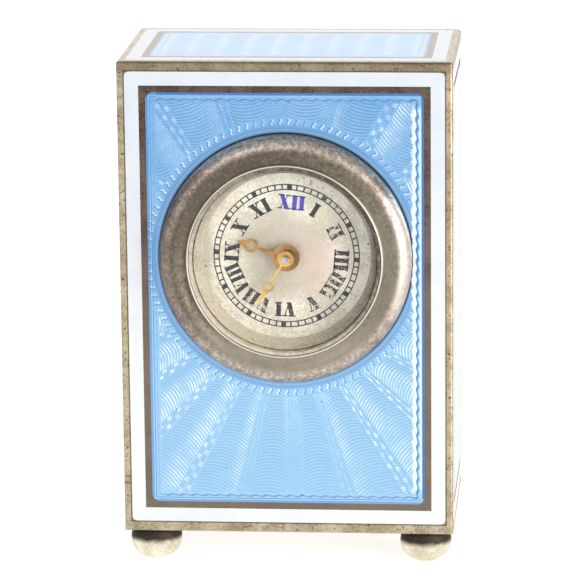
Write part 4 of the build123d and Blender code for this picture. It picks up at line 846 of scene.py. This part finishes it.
def print_track(made):
    """The two rings and the minute bars between them, broader at the hours."""
    for inner, outer in TRACK_RINGS:
        arc_patch(made, inner, outer, 0, 360, 240)
    inner, outer = TRACK_RINGS[0][1] - 0.03, TRACK_RINGS[1][0] + 0.03
    for minute in range(60):
        half = 2.0 if minute % 5 == 0 else 0.6
        arc_patch(made, inner, outer, minute * 6 - half, minute * 6 + half, 2)


for name, maker, paint in (
    ("hour_numbers", print_hours(range(1, 12)), black_ink),
    ("twelve", print_hours([12]), violet_ink),
    ("minute_track", print_track, black_ink),
):
    piece = new_piece(name, maker, paint, "case")

# ---------------------------------------------------------------- finishes of the solids

# By material slot, and then the nodes whose finish is their own
finishes = {
    "case_silver": case_silver,
    "bezel_silver": bezel_silver,
    "foot_silver": foot_silver,
    "white_enamel": white_enamel,
    "blue_enamel": side_enamel,
    "dial_silver": dial_silver,
    "crystal": crystal,
    "gilt": gilt,
    "copper_gilt": copper_gilt,
    "movement_brass": movement_brass,
    "steel": steel,
    "blued_steel": blued_steel,
    "ruby": ruby,
}
own_finishes = {
    "front_blue_enamel": front_enamel,
    "top_blue_enamel": top_enamel,
    "rear_door": door_silver,
}
for part in frame["record"]["subparts"]:
    node = part["node"]
    paint = own_finishes.get(node) or finishes[part["material_slot"]]
    if node.endswith("_plaque"):
        paint = plaque_silver
    NODES[node].data.materials.clear()
    NODES[node].data.materials.append(paint.material)

# ---------------------------------------------------------------- floor, light and camera

floor_paint = Paint("floor")
floor_paint.colour((0.6, 0.6, 0.6, 1.0))
floor_paint.fix(Roughness=0.9, Emission_Color=(1.0, 1.0, 1.0, 1.0), Emission_Strength=0.75)
floor_mesh = bpy.data.meshes.new("floor")
# Six metres square
floor_mesh.from_pydata([(-3, -3, 0), (3, -3, 0), (3, 3, 0), (-3, 3, 0)], [], [(0, 1, 2, 3)])
floor = bpy.data.objects.new("floor", floor_mesh)
bpy.context.scene.collection.objects.link(floor)
floor_mesh.materials.append(floor_paint.material)

world = bpy.data.worlds.new("studio")
bpy.context.scene.world = world
world.use_nodes = True
world.node_tree.nodes["Background"].inputs["Color"].default_value = (0.97, 0.98, 1.0, 1.0)
world.node_tree.nodes["Background"].inputs["Strength"].default_value = 0.4


def area_light(name, where, aim, size, power, colour=(1, 1, 1)):
    """A rectangular lamp. Places and sizes are in metres, and the power in watts."""
    lamp = bpy.data.lights.new(name, "AREA")
    lamp.shape = "RECTANGLE"
    lamp.size, lamp.size_y = size
    lamp.energy = power
    lamp.color = colour
    item = bpy.data.objects.new(name, lamp)
    bpy.context.scene.collection.objects.link(item)
    item.location = where
    item.rotation_euler = (Vector(aim) - Vector(where)).to_track_quat("-Z", "Y").to_euler()


area_light("key", (0.37, -0.30, 0.10), (0, 0, 0.03), (0.26, 0.26), 2.0, (1.0, 0.98, 0.95))
area_light("fill", (-0.3, -0.42, 0.30), (0, 0, 0.03), (0.4, 0.3), 0.7)
area_light("back", (0.0, 0.5, 0.22), (0, 0, 0.04), (1.1, 0.4), 1.3)

# The camera that was fitted to the photo: its place in metres and its turns in radians
camera_data = bpy.data.cameras.new("camera")
camera_data.lens = 241.55
camera_data.sensor_width = 36.0
camera_data.clip_start = 0.01
camera_data.clip_end = 20.0
camera = bpy.data.objects.new("camera", camera_data)
bpy.context.scene.collection.objects.link(camera)
turned = (
    Matrix.Rotation(0.085034, 3, "Z")
    @ Matrix.Rotation(-0.229876, 3, "X")
    @ Matrix.Rotation(0.010561, 3, "Y")
)
pose = Matrix((turned.col[0], turned.col[2], -turned.col[1])).transposed().to_4x4()
pose.translation = Vector((0.03273, -0.39145, 0.11902))
camera.matrix_world = pose
bpy.context.scene.camera = camera
bpy.context.scene.view_settings.view_transform = "Standard"
